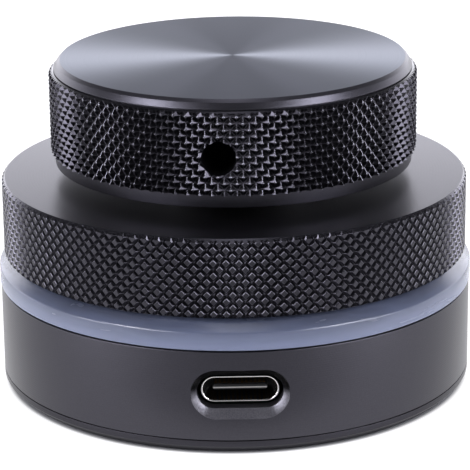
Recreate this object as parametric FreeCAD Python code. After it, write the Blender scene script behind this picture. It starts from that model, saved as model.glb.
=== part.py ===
import FreeCAD, Part
import math
import os

# Desk volume control: a stack of turned pieces about the vertical axis.
# Millimetres and degrees. Z is up from the table, the USB port faces -Y.

# Anti-slip pad
pad_inset = 3.1
pad_thickness = 1.0
pad_proud = 0.15
pad_fit = 0.1

# Bottom cover
cover_rim = 1.55
cover_plate = 1.6
cover_chamfer = 0.8
cover_fit = 0.1

# Base housing
base_radius = 28.5
base_height = 10.8
base_wall = 2.5
base_flange = 1.6
base_flange_step = 0.3
base_edge_break = 0.1

# USB port pocket in the base wall
port_height_share = 0.511
port_clearance = 0.44
port_side_flare = 0.67
port_rise_flare = 0.73
port_chamfer_depth = 1.2

# Light ring
light_height = 3.6
light_proud = 0.1
light_rim = 2.1
light_rim_radius = 0.35
light_lower_radius = 0.2
light_shelf_inset = 1.6
light_screw_wall = 2.0

# Upper housing
upper_inset = 0.5
upper_height = 9.3
upper_wall = 2.8
upper_roof = 2.5
upper_top_chamfer = 0.4
upper_low_chamfer = 0.25
upper_knurl_count = 122
upper_knurl_row = 1.5
upper_knurl_depth = 0.34

# Knob
knob_gap = 1.67
knob_radius = 22.0
knob_height = 12.43
knob_low_chamfer = 0.6
knob_low_chamfer_height = 1.5
knob_disc_inset = 1.4
knob_rim_chamfer = 0.35
knob_rim_taper = 0.45
knob_rim_taper_height = 0.7
knob_groove_width = 0.14
knob_groove_depth = 0.12
knob_land_height = 0.36
knob_knurl_count = 96
knob_knurl_row = 1.55
knob_knurl_depth = 0.46
knob_counterbore_gap = 1.5
knob_hub_depth = 6.7
knob_press_travel = 0.5
knob_turn_clearance = 0.4

# Grub screw in the side of the knob, the hole a little left of the port
grub_hole_radius = 2.0
grub_length = 6.0
grub_angle = -5.4
grub_hole_wall = 0.57
grub_hex_radius = 1.15
grub_hex_depth = 2.5

# Machine screws
screw_radius = 1.0
screw_fit = 0.04
screw_pass_clearance = 0.2
screw_head_radius = 1.9
screw_head_height = 1.2
screw_cone_height = 1.1
screw_socket_radius = 0.75
screw_socket_depth = 0.6
thread_room = 0.3
post_radius = 2.3

cover_screw_length = 6.0
cover_screw_inset = 2.4
cover_screw_count = 4
cover_screw_angle = 67.5

housing_screw_length = 8.0
housing_head_gap = 0.3
housing_screw_count = 4
housing_screw_angle = 22.5

# Main board
board_thickness = 1.6
board_edge_gap = 1.0
board_notch_gap = 0.4
main_screw_length = 3.8
main_screw_inset = 7.0
main_screw_count = 4
main_screw_angle = 45.0

# USB-C receptacle
usb_width = 8.94
usb_height = 3.16
usb_length = 7.3
usb_wall = 0.3
usb_setback = 2.0
usb_tab_width = 0.8
usb_tab_depth = 1.2
usb_tab_proud = 0.3
usb_tab_fit = 0.1
usb_tab_row_shares = (0.45, 0.8)
usb_core_length = 1.6
usb_fit = 0.03
tongue_width = 6.3
tongue_thickness = 0.7
tongue_setback = 0.5
contact_count = 12
contact_pitch = 0.5
contact_width = 0.26
contact_length = 3.6
contact_thickness = 0.05
contact_setback = 0.6

# Parts on the main board
chip_size = 5.0
chip_height = 0.85
chip_corner = 0.25
regulator_length = 3.0
regulator_width = 1.7
regulator_height = 1.1
passive_length = 1.6
passive_width = 0.8
passive_height = 0.8
chip_place_share = (-0.35, 0.12)
regulator_place_share = (-0.36, -0.24)
passive_place_shares = (
    (-0.56, 0.14), (-0.56, 0.02), (-0.35, 0.34), (-0.22, 0.34),
    (-0.14, 0.16), (-0.14, 0.04), (-0.36, -0.38), (0.02, -0.14),
)

# Board to board connector
connector_place = 10.5
connector_rows = 2
connector_columns = 4
connector_pitch = 2.0
connector_side = 0.5
connector_header_height = 2.0
connector_pin_side = 0.5
connector_pin_engagement = 3.6
connector_pin_fit = 0.05

# Light board
light_board_edge_gap = 0.4
light_screw_length = 5.0
light_screw_inset = 4.1
light_screw_count = 3
light_screw_angle = 60.0
emitter_count = 8
emitter_width = 3.0
emitter_depth = 1.4
emitter_height = 1.2
emitter_edge_gap = 0.3
emitter_lens_depth = 0.25

# Rotary encoder
encoder_width = 11.7
encoder_depth = 12.0
frame_thickness = 0.6
frame_leg_width = 2.0
frame_leg_proud = 1.0
frame_slot_fit = 0.1
case_floor = 0.8
case_web = 0.6
bush_radius = 3.5
bush_height = 6.5
bush_flange_thickness = 1.0
bush_flange_fit = 0.15
bush_fit = 0.05
pin_radius = 0.4
pin_proud = 1.2
pin_fit = 0.05
pin_inset = 1.1
turn_pin_pitch = 2.5
switch_pin_pitch = 5.0

# Shaft, rotor, plunger and dome
shaft_radius = 3.0
shaft_running_fit = 0.04
shaft_end_clearance = 0.5
shaft_flat = 1.5
shaft_end_chamfer = 0.4
collar_radius = 3.6
collar_thickness = 0.6
collar_clearance = 0.05
drive_radius = 2.0
drive_flat = 1.5
tip_radius = 1.4
rotor_radius = 4.6
rotor_thickness = 1.0
rotor_clearance = 0.05
rotor_side_gap = 0.4
rotor_tooth_count = 20
rotor_tooth_depth = 0.15
press_clearance = 0.1
plunger_lip = 0.6
plunger_flange = 0.5
plunger_stand = 0.1
dome_radius = 2.6
dome_rest = 0.2
dome_side_gap = 0.6
dome_thickness = 0.12
detent_gap = 0.3
detent_thickness = 0.15
detent_nib_radius = 0.3
detent_nib_count = 2

# Nut and washer on the bush
washer_radius = 6.0
washer_thickness = 0.5
nut_across_flats = 10.0
nut_thickness = 2.0
nut_chamfer = 0.5
nut_fit = 0.04

# Sides of the nut and of the grub screw's socket
hexagon_sides = 6

# Overrun of every cutting tool beyond the face that it opens
overrun = 1.0

# Heights, from the table upwards
cover_low = pad_proud
pad_top = pad_thickness
seam = cover_low + cover_rim
cover_top = pad_top + cover_plate
base_top = seam + base_height
flange_low = base_top - base_flange
upper_low = base_top + light_height
upper_top = upper_low + upper_height
roof_low = upper_top - upper_roof
knob_low = upper_top + knob_gap
knob_top = knob_low + knob_height

port_centre = seam + base_height * port_height_share
main_board_top = port_centre - usb_height / 2
main_board_low = main_board_top - board_thickness

frame_low = roof_low - frame_thickness
bush_flange_low = frame_low - bush_flange_thickness
collar_top = bush_flange_low - collar_clearance
collar_low = collar_top - collar_thickness
rotor_top = collar_low - knob_press_travel - press_clearance
rotor_low = rotor_top - rotor_thickness
web_top = rotor_low - rotor_clearance
web_low = web_top - case_web
plunger_top = web_top + plunger_stand
drive_low = web_top + knob_press_travel + press_clearance
dome_top = web_low - plunger_flange
dome_rise = knob_press_travel + dome_rest
case_floor_top = dome_top - dome_rise
light_board_top = case_floor_top - case_floor
light_board_low = light_board_top - board_thickness

bush_top = roof_low + bush_height
washer_top = upper_top + washer_thickness
nut_top = washer_top + nut_thickness
hub_low = bush_top + knob_press_travel + knob_turn_clearance
hub_top = hub_low + knob_hub_depth
shaft_top = hub_top - shaft_end_clearance
grub_centre = hub_low + grub_hole_wall + grub_hole_radius

# Radii and circles
base_bore = base_radius - base_wall
light_radius = base_radius + light_proud
upper_radius = base_radius - upper_inset
upper_bore = upper_radius - upper_wall
shelf_radius = light_radius - light_shelf_inset
cover_spigot = base_bore - cover_fit
main_board_radius = base_bore - board_edge_gap
main_screw_circle = main_board_radius - main_screw_inset
cover_screw_circle = base_bore - cover_screw_inset
housing_screw_circle = base_bore - screw_head_radius - housing_head_gap
light_bore_radius = housing_screw_circle - light_screw_wall
flange_bore = light_bore_radius - base_flange_step
light_board_radius = housing_screw_circle - post_radius - light_board_edge_gap
light_screw_circle = light_board_radius - light_screw_inset
emitter_circle = light_board_radius - emitter_edge_gap - emitter_depth / 2
screw_hole = screw_radius + screw_fit
screw_pass = screw_radius + screw_pass_clearance
post_clear = post_radius + board_notch_gap
usb_front = usb_setback - base_radius
usb_back = usb_front + usb_length
port_pocket_width = usb_width + 2 * port_clearance
port_pocket_height = usb_height + 2 * port_clearance
port_mouth_width = port_pocket_width + 2 * port_side_flare
port_mouth_height = port_pocket_height + 2 * port_rise_flare
case_bore_radius = rotor_radius + rotor_side_gap
bush_flange_radius = case_bore_radius - bush_flange_fit
detent_inner_radius = collar_radius + detent_gap
switch_bore_radius = dome_radius + dome_side_gap
plunger_flange_radius = tip_radius + plunger_lip
knob_counterbore_radius = washer_radius + knob_counterbore_gap
pin_row = encoder_depth / 2 - pin_inset
pad_radius = base_radius - pad_inset


def point(across, deep, up):
    return FreeCAD.Vector(across, deep, up)


def polar(radius, degrees):
    angle = math.radians(degrees)
    return point(radius * math.cos(angle), radius * math.sin(angle), 0)


def ring_places(radius, count, first_angle):
    step = 360.0 / count
    return [polar(radius, first_angle + step * index) for index in range(count)]


def cylinder(radius, low, high, centre=None):
    foot = point(0, 0, low) if centre is None else point(centre.x, centre.y, low)
    return Part.makeCylinder(radius, high - low, foot)


def cone(low_radius, high_radius, low, high, centre):
    foot = point(centre.x, centre.y, low)
    return Part.makeCone(low_radius, high_radius, high - low, foot)


def block(width, depth, low, high, centre=None):
    middle = point(0, 0, 0) if centre is None else centre
    corner = point(middle.x - width / 2, middle.y - depth / 2, low)
    return Part.makeBox(width, depth, high - low, corner)


def turned_about(solid, degrees):
    copy = solid.copy()
    copy.rotate(point(0, 0, 0), point(0, 0, 1), degrees)
    return copy


def rounded_edges(corners):
    """Edges round a closed outline of (point, corner radius) pairs."""
    starts, edges, ends = [], [], []
    count = len(corners)
    for index in range(count):
        here, radius = corners[index]
        back = corners[index - 1][0] - here
        ahead = corners[(index + 1) % count][0] - here
        back.normalize()
        ahead.normalize()
        half = back.getAngle(ahead) / 2
        cut = radius / math.tan(half)
        starts.append(here + back * cut)
        ends.append(here + ahead * cut)
        if radius > 0:
            inward = back + ahead
            inward.normalize()
            middle = here + inward * (radius / math.sin(half) - radius)
            edges.append(Part.Arc(starts[-1], middle, ends[-1]).toShape())
    for index in range(count):
        edges.append(Part.LineSegment(ends[index - 1], starts[index]).toShape())
    return Part.Wire(Part.__sortEdges__(edges))


def turned(corners):
    """Solid of revolution of a closed (radius, height, corner radius) outline."""
    outline = [(point(radius, 0, height), corner) for radius, height, corner in corners]
    face = Part.Face(rounded_edges(outline))
    return face.revolve(point(0, 0, 0), point(0, 0, 1), 360)


def sharp(corners):
    return [(radius, height, 0) for radius, height in corners]


def flat_face(corners):
    return Part.Face(Part.makePolygon(corners + corners[:1]))


def prism(points, low, high):
    """Upright prism over a flat outline of (x, y) places."""
    face = flat_face([point(x, y, low) for x, y in points])
    return face.extrude(point(0, 0, high - low))


def obround_wire(width, height, deep):
    """Slot outline in the X-Z plane about the port's centre line."""
    radius = height / 2
    reach = width / 2 - radius
    low = port_centre - radius
    high = port_centre + radius
    lower = Part.LineSegment(point(-reach, deep, low), point(reach, deep, low))
    upper = Part.LineSegment(point(reach, deep, high), point(-reach, deep, high))
    right = Part.Arc(point(reach, deep, low), point(width / 2, deep, port_centre), point(reach, deep, high))
    left = Part.Arc(point(-reach, deep, high), point(-width / 2, deep, port_centre), point(-reach, deep, low))
    return Part.Wire([lower.toShape(), right.toShape(), upper.toShape(), left.toShape()])


def obround(width, height, front, back):
    face = Part.Face(obround_wire(width, height, front))
    return face.extrude(point(0, back - front, 0))


def double_flat(radius, flat, low, high):
    """Round bar with two parallel flats."""
    bar = cylinder(radius, low, high)
    return bar.common(block(2 * radius, 2 * flat, low, high))


def knurl_ring(radius, depth, count, level, height):
    """Closed zigzag ring: every other point is a crest, one step further round on the next level."""
    ring = []
    for column in range(2 * count):
        groove = (column + level) % 2
        ring.append(polar(radius - depth * groove, 180.0 / count * column) + point(0, 0, height))
    return ring


def knurl_facets(lower, upper, level):
    """Two facets for each cell between two rings, creased along the groove that crosses it."""
    facets = []
    for column in range(len(lower)):
        corners = [lower[column - 1], lower[column], upper[column], upper[column - 1]]
        start = (column + level) % 2
        around = corners[start:] + corners[:start + 1]
        facets.append(flat_face(around[:3]))
        facets.append(flat_face(around[2:]))
    return facets


def knurled_bar(radius, low, high, top, count, row, depth):
    """Bar past the top, cut into diamond points from low to high by crossing helical grooves."""
    rise = row / 2
    levels = math.ceil((high - low) / rise)
    base = (low + high - rise * levels) / 2
    rings = [knurl_ring(radius, depth, count, level, base + rise * level) for level in range(levels + 1)]
    foot = knurl_ring(radius, depth, count, 0, low - overrun)
    head = knurl_ring(radius, depth, count, levels, top + overrun)
    facets = [flat_face(foot), flat_face(head)]
    facets += knurl_facets(foot, rings[0], 0)
    for level in range(levels):
        facets += knurl_facets(rings[level], rings[level + 1], level)
    facets += knurl_facets(rings[levels], head, levels)
    return Part.Solid(Part.makeShell(facets))


def run_out(radius, height, drop, rise):
    """Outer end of a chamfer carried on past the crests, where it trims the knurl."""
    return (radius + overrun, height + rise * overrun / drop)


def fused(solids):
    first = solids[0]
    return first.multiFuse(solids[1:]).removeSplitter() if len(solids) > 1 else first


def grouped(solids):
    return Part.makeCompound(solids)


def save(name, shape):
    shape.exportStep("parts/" + name + ".step")
    print(name, "solids", len(shape.Solids), "volume", round(shape.Volume, 3), shape.isValid())


def pan_screw(centre, seat, length, upwards):
    """Screw with a round socket head, its head's flat seated at the given height."""
    way = 1 if upwards else -1
    tip = seat + way * length
    top = seat - way * screw_head_height
    socket = top + way * screw_socket_depth
    shank = cylinder(screw_radius, min(seat, tip), max(seat, tip), centre)
    head = cylinder(screw_head_radius, min(seat, top), max(seat, top), centre)
    recess = cylinder(screw_socket_radius, min(top, socket), max(top, socket), centre)
    return fused([shank, head]).cut(recess)


def countersunk_screw(centre, low, length):
    """Flat-headed screw that points up, its head's face at the given height."""
    cone_top = low + screw_cone_height
    head = cone(screw_head_radius, screw_radius, low, cone_top, centre)
    shank = cylinder(screw_radius, low, low + length, centre)
    socket = cylinder(screw_socket_radius, low, low + screw_socket_depth, centre)
    return fused([head, shank]).cut(socket)


cover_screw_places = ring_places(cover_screw_circle, cover_screw_count, cover_screw_angle)
housing_screw_places = ring_places(housing_screw_circle, housing_screw_count, housing_screw_angle)
main_screw_places = ring_places(main_screw_circle, main_screw_count, main_screw_angle)
light_screw_places = ring_places(light_screw_circle, light_screw_count, light_screw_angle)


def anti_slip_pad():
    return cylinder(pad_radius, 0, pad_top)


def bottom_cover():
    """Plate with a chamfered rim, a spigot inside the base and four posts for the board."""
    recess = pad_radius + pad_fit
    plate = turned(sharp([
        (0, pad_top),
        (recess, pad_top),
        (recess, cover_low),
        (base_radius - cover_chamfer, cover_low),
        (base_radius, cover_low + cover_chamfer),
        (base_radius, seam),
        (cover_spigot, seam),
        (cover_spigot, cover_top),
        (0, cover_top),
    ]))
    posts = [cylinder(post_radius, cover_top, main_board_low, place) for place in main_screw_places]
    cover = fused([plate] + posts)
    hole_low = main_board_top - main_screw_length - thread_room
    holes = [cylinder(screw_hole, hole_low, main_board_low + overrun, place) for place in main_screw_places]
    cone_top = pad_top + screw_cone_height
    for place in cover_screw_places:
        holes.append(cone(screw_head_radius + screw_fit, screw_hole, pad_top, cone_top, place))
        holes.append(cylinder(screw_hole, pad_top - overrun, cover_top + overrun, place))
    return cover.cut(grouped(holes))


def port_pocket():
    """Cutter for the port: a slot through the wall with a wide chamfer at its mouth."""
    chamfer_back = port_chamfer_depth - base_radius
    wall_at_mouth = -math.sqrt(base_radius ** 2 - (port_mouth_width / 2) ** 2)
    side_slope = (port_mouth_width - port_pocket_width) / (chamfer_back - wall_at_mouth)
    rise_slope = (port_mouth_height - port_pocket_height) / port_chamfer_depth
    front = -base_radius - overrun
    reach = chamfer_back - front
    tool_width = port_pocket_width + side_slope * reach
    tool_height = port_pocket_height + rise_slope * reach
    mouth = obround_wire(tool_width, tool_height, front)
    throat = obround_wire(port_pocket_width, port_pocket_height, chamfer_back)
    flare = Part.makeLoft([mouth, throat], True, True)
    slot_back = overrun - base_bore
    slot = obround(port_pocket_width, port_pocket_height, chamfer_back - overrun, slot_back)
    return [flare, slot]


def base_housing():
    """Turned shell with an inward flange on top, four screw posts and the port pocket."""
    shell = turned([
        (base_bore, seam, 0),
        (base_radius, seam, base_edge_break),
        (base_radius, base_top, base_edge_break),
        (flange_bore, base_top, 0),
        (flange_bore, flange_low, 0),
        (base_bore, flange_low, 0),
    ])
    posts = [cylinder(post_radius, cover_top, flange_low, place) for place in cover_screw_places]
    housing = fused([shell] + posts)
    hole_top = pad_top + cover_screw_length + thread_room
    holes = [cylinder(screw_hole, cover_top - overrun, hole_top, place) for place in cover_screw_places]
    for place in housing_screw_places:
        holes.append(cylinder(screw_pass, flange_low - overrun, base_top + overrun, place))
    for cutter in holes + port_pocket():
        housing = housing.cut(cutter)
    return housing


def light_ring():
    """Translucent ring: a rounded rim outside, a slope that runs in under the upper housing."""
    crease = base_top + light_rim
    ring = turned([
        (light_bore_radius, base_top, 0),
        (light_radius, base_top, light_lower_radius),
        (light_radius, crease, light_rim_radius),
        (shelf_radius, upper_low, 0),
        (light_bore_radius, upper_low, 0),
    ])
    holes = [
        cylinder(screw_pass, base_top - overrun, upper_low + overrun, place)
        for place in housing_screw_places
    ]
    return ring.cut(grouped(holes))


def upper_housing():
    """Knurled inverted cup: wall posts for the clamping screws, roof posts for the light board."""
    wall_low = upper_low + upper_low_chamfer
    wall_high = upper_top - upper_top_chamfer
    shell = turned(sharp([
        (upper_bore, upper_low),
        (upper_radius - upper_low_chamfer, upper_low),
        run_out(upper_radius, wall_low, upper_low_chamfer, upper_low_chamfer),
        run_out(upper_radius, wall_high, upper_top_chamfer, -upper_top_chamfer),
        (upper_radius - upper_top_chamfer, upper_top),
        (bush_radius + bush_fit, upper_top),
        (bush_radius + bush_fit, roof_low),
        (upper_bore, roof_low),
    ]))
    wall_posts = [cylinder(post_radius, upper_low, roof_low, place) for place in housing_screw_places]
    roof_posts = [cylinder(post_radius, light_board_top, roof_low, place) for place in light_screw_places]
    housing = fused([shell] + wall_posts + roof_posts)
    wall_top = flange_low + housing_screw_length + thread_room
    roof_top = light_board_low + light_screw_length + thread_room
    holes = [cylinder(screw_hole, upper_low - overrun, wall_top, place) for place in housing_screw_places]
    for place in light_screw_places:
        holes.append(cylinder(screw_hole, light_board_top - overrun, roof_top, place))
    bar = knurled_bar(
        upper_radius, upper_low, upper_top, upper_top,
        upper_knurl_count, upper_knurl_row, upper_knurl_depth,
    )
    return housing.cut(grouped(holes)).common(bar)


def pan_screws(places, seat, length, upwards):
    return grouped([pan_screw(place, seat, length, upwards) for place in places])


def cover_screws():
    return grouped([countersunk_screw(place, pad_top, cover_screw_length) for place in cover_screw_places])


def housing_screws():
    return pan_screws(housing_screw_places, flange_low, housing_screw_length, True)


def main_board_screws():
    return pan_screws(main_screw_places, main_board_top, main_screw_length, False)


def light_board_screws():
    return pan_screws(light_screw_places, light_board_low, light_screw_length, True)


def usb_tab_places():
    side = usb_width / 2 - usb_height / 2
    rows = [usb_front + usb_length * share for share in usb_tab_row_shares]
    return [point(sign * side, deep, 0) for deep in rows for sign in (-1, 1)]


def usb_shell():
    """Obround steel tube, open at the front, with four legs through the board."""
    outer = obround(usb_width, usb_height, usb_front, usb_back)
    walls = 2 * usb_wall
    inner = obround(usb_width - walls, usb_height - walls, usb_front - overrun, usb_back + overrun)
    legs = [
        block(usb_tab_width, usb_tab_depth, main_board_low - usb_tab_proud, main_board_top + usb_wall, place)
        for place in usb_tab_places()
    ]
    return fused([outer] + legs).cut(inner)


def usb_tongue():
    """Insulator that closes the back of the shell and carries the tongue."""
    gap = 2 * (usb_wall + usb_fit)
    core = obround(usb_width - gap, usb_height - gap, usb_back - usb_core_length, usb_back)
    low = port_centre - tongue_thickness / 2
    high = port_centre + tongue_thickness / 2
    front = usb_front + tongue_setback
    middle = point(0, (front + usb_back) / 2, 0)
    tongue = block(tongue_width, usb_back - front, low, high, middle)
    return fused([core, tongue])


def usb_contacts():
    """Contact strips on both faces of the tongue."""
    front = usb_front + tongue_setback + contact_setback
    first = -contact_pitch * (contact_count - 1) / 2
    upper = port_centre + tongue_thickness / 2
    lower = port_centre - tongue_thickness / 2
    strips = []
    for index in range(contact_count):
        place = point(first + contact_pitch * index, front + contact_length / 2, 0)
        strips.append(block(contact_width, contact_length, upper, upper + contact_thickness, place))
        strips.append(block(contact_width, contact_length, lower - contact_thickness, lower, place))
    return grouped(strips)


def main_board():
    """Round board, notched round the base's posts and drilled for its screws and the port's legs."""
    board = cylinder(main_board_radius, main_board_low, main_board_top)
    cuts = [
        cylinder(post_clear, main_board_low - overrun, main_board_top + overrun, place)
        for place in cover_screw_places
    ]
    for place in main_screw_places:
        cuts.append(cylinder(screw_pass, main_board_low - overrun, main_board_top + overrun, place))
    slot_width = usb_tab_width + 2 * usb_tab_fit
    slot_depth = usb_tab_depth + 2 * usb_tab_fit
    for place in usb_tab_places():
        cuts.append(block(slot_width, slot_depth, main_board_low - overrun, main_board_top + overrun, place))
    for cutter in cuts:
        board = board.cut(cutter)
    return board


def on_board(shares):
    return point(main_board_radius * shares[0], main_board_radius * shares[1], 0)


def controller_chip():
    """Square chip with one corner cut as its pin mark."""
    centre = on_board(chip_place_share)
    low_x = centre.x - chip_size / 2
    low_y = centre.y - chip_size / 2
    outline = [
        (low_x + chip_corner, low_y),
        (low_x + chip_size, low_y),
        (low_x + chip_size, low_y + chip_size),
        (low_x, low_y + chip_size),
        (low_x, low_y + chip_corner),
    ]
    return prism(outline, main_board_top, main_board_top + chip_height)


def regulator_chip():
    top = main_board_top + regulator_height
    return block(regulator_width, regulator_length, main_board_top, top, on_board(regulator_place_share))


def board_passives():
    top = main_board_top + passive_height
    return grouped([
        block(passive_length, passive_width, main_board_top, top, on_board(shares))
        for shares in passive_place_shares
    ])


def connector_places():
    """Pin places of the connector, its long side along Y."""
    places = []
    for row in range(connector_rows):
        for column in range(connector_columns):
            across = connector_place + connector_pitch * (row - (connector_rows - 1) / 2)
            deep = connector_pitch * (column - (connector_columns - 1) / 2)
            places.append(point(across, deep, 0))
    return places


def connector_block(low, high):
    width = connector_pitch * connector_rows + connector_side
    depth = connector_pitch * connector_columns + connector_side
    return block(width, depth, low, high, point(connector_place, 0, 0))


def board_socket():
    """Socket strip that fills the space below the header."""
    high = light_board_low - connector_header_height
    hole_side = connector_pin_side + 2 * connector_pin_fit
    hole_low = high - connector_pin_engagement - thread_room
    holes = [block(hole_side, hole_side, hole_low, high + overrun, place) for place in connector_places()]
    return connector_block(main_board_top, high).cut(grouped(holes))


def board_header():
    """Header under the light board with its square pins."""
    low = light_board_low - connector_header_height
    pins = [
        block(connector_pin_side, connector_pin_side, low - connector_pin_engagement, light_board_low, place)
        for place in connector_places()
    ]
    return fused([connector_block(low, light_board_low)] + pins)


def frame_leg_places():
    side = encoder_width / 2 + frame_thickness / 2
    return [point(-side, 0, 0), point(side, 0, 0)]


def encoder_pin_places():
    turn_row = [point(turn_pin_pitch * step, -pin_row, 0) for step in (-1, 0, 1)]
    switch_row = [point(switch_pin_pitch / 2 * sign, pin_row, 0) for sign in (-1, 1)]
    return turn_row + switch_row


def light_board():
    """Upper board: screws to the roof posts, the encoder stands on it, the lamps hang under it."""
    board = cylinder(light_board_radius, light_board_low, light_board_top)
    low = light_board_low - overrun
    high = light_board_top + overrun
    cuts = [cylinder(screw_pass, low, high, place) for place in light_screw_places]
    for place in encoder_pin_places():
        cuts.append(cylinder(pin_radius + pin_fit, low, high, place))
    slot = frame_thickness + 2 * frame_slot_fit
    for place in frame_leg_places():
        cuts.append(block(slot, frame_leg_width + 2 * frame_slot_fit, low, high, place))
    return board.cut(grouped(cuts))


def light_emitters():
    """Side-firing lamps, each with a raised lens towards the ring."""
    lamps = []
    low = light_board_low - emitter_height
    for index in range(emitter_count):
        body = block(emitter_depth, emitter_width, low, light_board_low, point(emitter_circle, 0, 0))
        lens_place = point(emitter_circle + emitter_depth / 2 + emitter_lens_depth / 2, 0, 0)
        lens_width = emitter_width - 2 * emitter_lens_depth
        lens_low = low + emitter_lens_depth
        lens_high = light_board_low - emitter_lens_depth
        lens = block(emitter_lens_depth, lens_width, lens_low, lens_high, lens_place)
        lamps.append(turned_about(fused([body, lens]), 360.0 / emitter_count * index))
    return grouped(lamps)


def encoder_case():
    """Square case: switch chamber below, a web with the plunger's guide, rotor chamber above."""
    case = block(encoder_width, encoder_depth, light_board_top, frame_low)
    switch_room = cylinder(switch_bore_radius, case_floor_top, web_low)
    guide = cylinder(tip_radius + shaft_running_fit, web_low - overrun, web_top + overrun)
    rotor_room = cylinder(case_bore_radius, web_top, frame_low + overrun)
    for cutter in (switch_room, guide, rotor_room):
        case = case.cut(cutter)
    return case


def encoder_frame():
    """Sheet bracket over the case with two legs through the board."""
    width = encoder_width + 2 * frame_thickness
    plate = block(width, encoder_depth, frame_low, roof_low)
    leg_low = light_board_low - frame_leg_proud
    legs = []
    for place in frame_leg_places():
        legs.append(block(frame_thickness, frame_leg_width, leg_low, roof_low, place))
        legs.append(block(frame_thickness, encoder_depth, light_board_top, roof_low, place))
    hole = cylinder(bush_radius + bush_fit, frame_low - overrun, roof_low + overrun)
    return fused([plate] + legs).cut(hole)


def encoder_bush():
    """Bush with a round flange held under the frame; the shaft runs in its bore."""
    bore = shaft_radius + shaft_running_fit
    return turned(sharp([
        (bore, bush_flange_low),
        (bush_flange_radius, bush_flange_low),
        (bush_flange_radius, frame_low),
        (bush_radius, frame_low),
        (bush_radius, bush_top - nut_chamfer / 2),
        (bush_radius - nut_chamfer / 2, bush_top),
        (bore, bush_top),
    ]))


def encoder_pins():
    low = light_board_low - pin_proud
    return grouped([cylinder(pin_radius, low, light_board_top, place) for place in encoder_pin_places()])


def encoder_rotor():
    """Keyed disc with radial notches in its upper rim that the detent spring clicks over."""
    disc = cylinder(rotor_radius, rotor_low, rotor_top)
    fit = shaft_running_fit
    keyway = double_flat(drive_radius + fit, drive_flat + fit, rotor_low - overrun, rotor_top + overrun)
    disc = disc.cut(keyway)
    notch_width = math.pi * rotor_radius / rotor_tooth_count
    notch_length = rotor_radius - detent_inner_radius
    middle = point(detent_inner_radius + notch_length, 0, 0)
    low = rotor_top - rotor_tooth_depth
    notch = block(2 * notch_length, notch_width, low, rotor_top + overrun, middle)
    step = 360.0 / rotor_tooth_count
    return disc.cut(grouped([turned_about(notch, step * index) for index in range(rotor_tooth_count)]))


def detent_spring():
    """Flat ring spring under the bush's flange with two nibs over the rotor's notches."""
    low = bush_flange_low - detent_thickness
    ring = cylinder(bush_flange_radius, low, bush_flange_low)
    ring = ring.cut(cylinder(detent_inner_radius, low - overrun, bush_flange_low + overrun))
    nib_circle = (detent_inner_radius + rotor_radius) / 2
    places = ring_places(nib_circle, detent_nib_count, 0)
    nibs = [cylinder(detent_nib_radius, rotor_top + rotor_clearance, low, place) for place in places]
    return fused([ring] + nibs)


def switch_dome():
    """Snap dome: a thin spherical cap on the floor of the case."""
    curve = (dome_radius ** 2 + dome_rise ** 2) / (2 * dome_rise)
    centre = point(0, 0, dome_top - curve)
    outer = Part.makeSphere(curve, centre)
    inner = Part.makeSphere(curve - dome_thickness, centre)
    room = cylinder(dome_radius, case_floor_top, dome_top + overrun)
    return outer.cut(inner).common(room)


def switch_plunger():
    """Plunger that rests on the dome; its flange stops under the web."""
    return turned(sharp([
        (0, dome_top),
        (plunger_flange_radius, dome_top),
        (plunger_flange_radius, web_low),
        (tip_radius, web_low),
        (tip_radius, plunger_top),
        (0, plunger_top),
    ]))


def shaft_flat_cutter(low, high, offset):
    """Block that leaves a flat on the side of the grub screw."""
    depth = shaft_radius + overrun
    cutter = block(2 * depth, depth, low, high, point(0, -offset - depth / 2, 0))
    return turned_about(cutter, grub_angle)


def encoder_shaft():
    """Shaft with a collar under the bush, a keyed end in the rotor and a flat for the knob."""
    drive = double_flat(drive_radius, drive_flat, drive_low, collar_low)
    tip = cylinder(tip_radius, plunger_top, drive_low)
    upper = turned(sharp([
        (0, collar_low),
        (collar_radius, collar_low),
        (collar_radius, collar_top),
        (shaft_radius, collar_top),
        (shaft_radius, shaft_top - shaft_end_chamfer),
        (shaft_radius - shaft_end_chamfer, shaft_top),
        (0, shaft_top),
    ]))
    flat_low = bush_top + knob_press_travel
    shaft = fused([upper, drive, tip])
    return shaft.cut(shaft_flat_cutter(flat_low, shaft_top + overrun, shaft_flat))


def encoder_washer():
    ring = cylinder(washer_radius, upper_top, washer_top)
    return ring.cut(cylinder(bush_radius + bush_fit, upper_top - overrun, washer_top + overrun))


def encoder_nut():
    """Hexagon nut with its upper corners turned off."""
    corner = nut_across_flats / math.sqrt(3)
    places = ring_places(corner, hexagon_sides, 0)
    hexagon = prism([(place.x, place.y) for place in places], washer_top, nut_top)
    top_radius = nut_across_flats / 2
    trim = turned(sharp([
        (0, washer_top),
        (corner, washer_top),
        (corner, nut_top - nut_chamfer),
        (top_radius, nut_top),
        (0, nut_top),
    ]))
    hole = cylinder(bush_radius + nut_fit, washer_top - overrun, nut_top + overrun)
    return hexagon.common(trim).cut(hole)


def grub_axis():
    return point(math.sin(math.radians(grub_angle)), -math.cos(math.radians(grub_angle)), 0)


def grub_bar(radius, near, far):
    """Round bar along the screw's axis between two distances from the knob's centre."""
    axis = grub_axis()
    foot = axis * near + point(0, 0, grub_centre)
    return Part.makeCylinder(radius, far - near, foot, axis)


def grub_screw():
    """Headless screw whose tip bears on the shaft's flat, with a hexagon socket outside."""
    outer = shaft_flat + grub_length
    body = grub_bar(grub_hole_radius - screw_fit, shaft_flat, outer)
    axis = grub_axis()
    across = point(-axis.y, axis.x, 0)
    centre = axis * (outer - grub_hex_depth) + point(0, 0, grub_centre)
    corners = []
    for index in range(hexagon_sides):
        angle = math.radians(360.0 / hexagon_sides * index)
        offset = across * (grub_hex_radius * math.cos(angle))
        corners.append(centre + offset + point(0, 0, grub_hex_radius * math.sin(angle)))
    socket = flat_face(corners).extrude(axis * (grub_hex_depth + overrun))
    return body.cut(socket)


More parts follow.
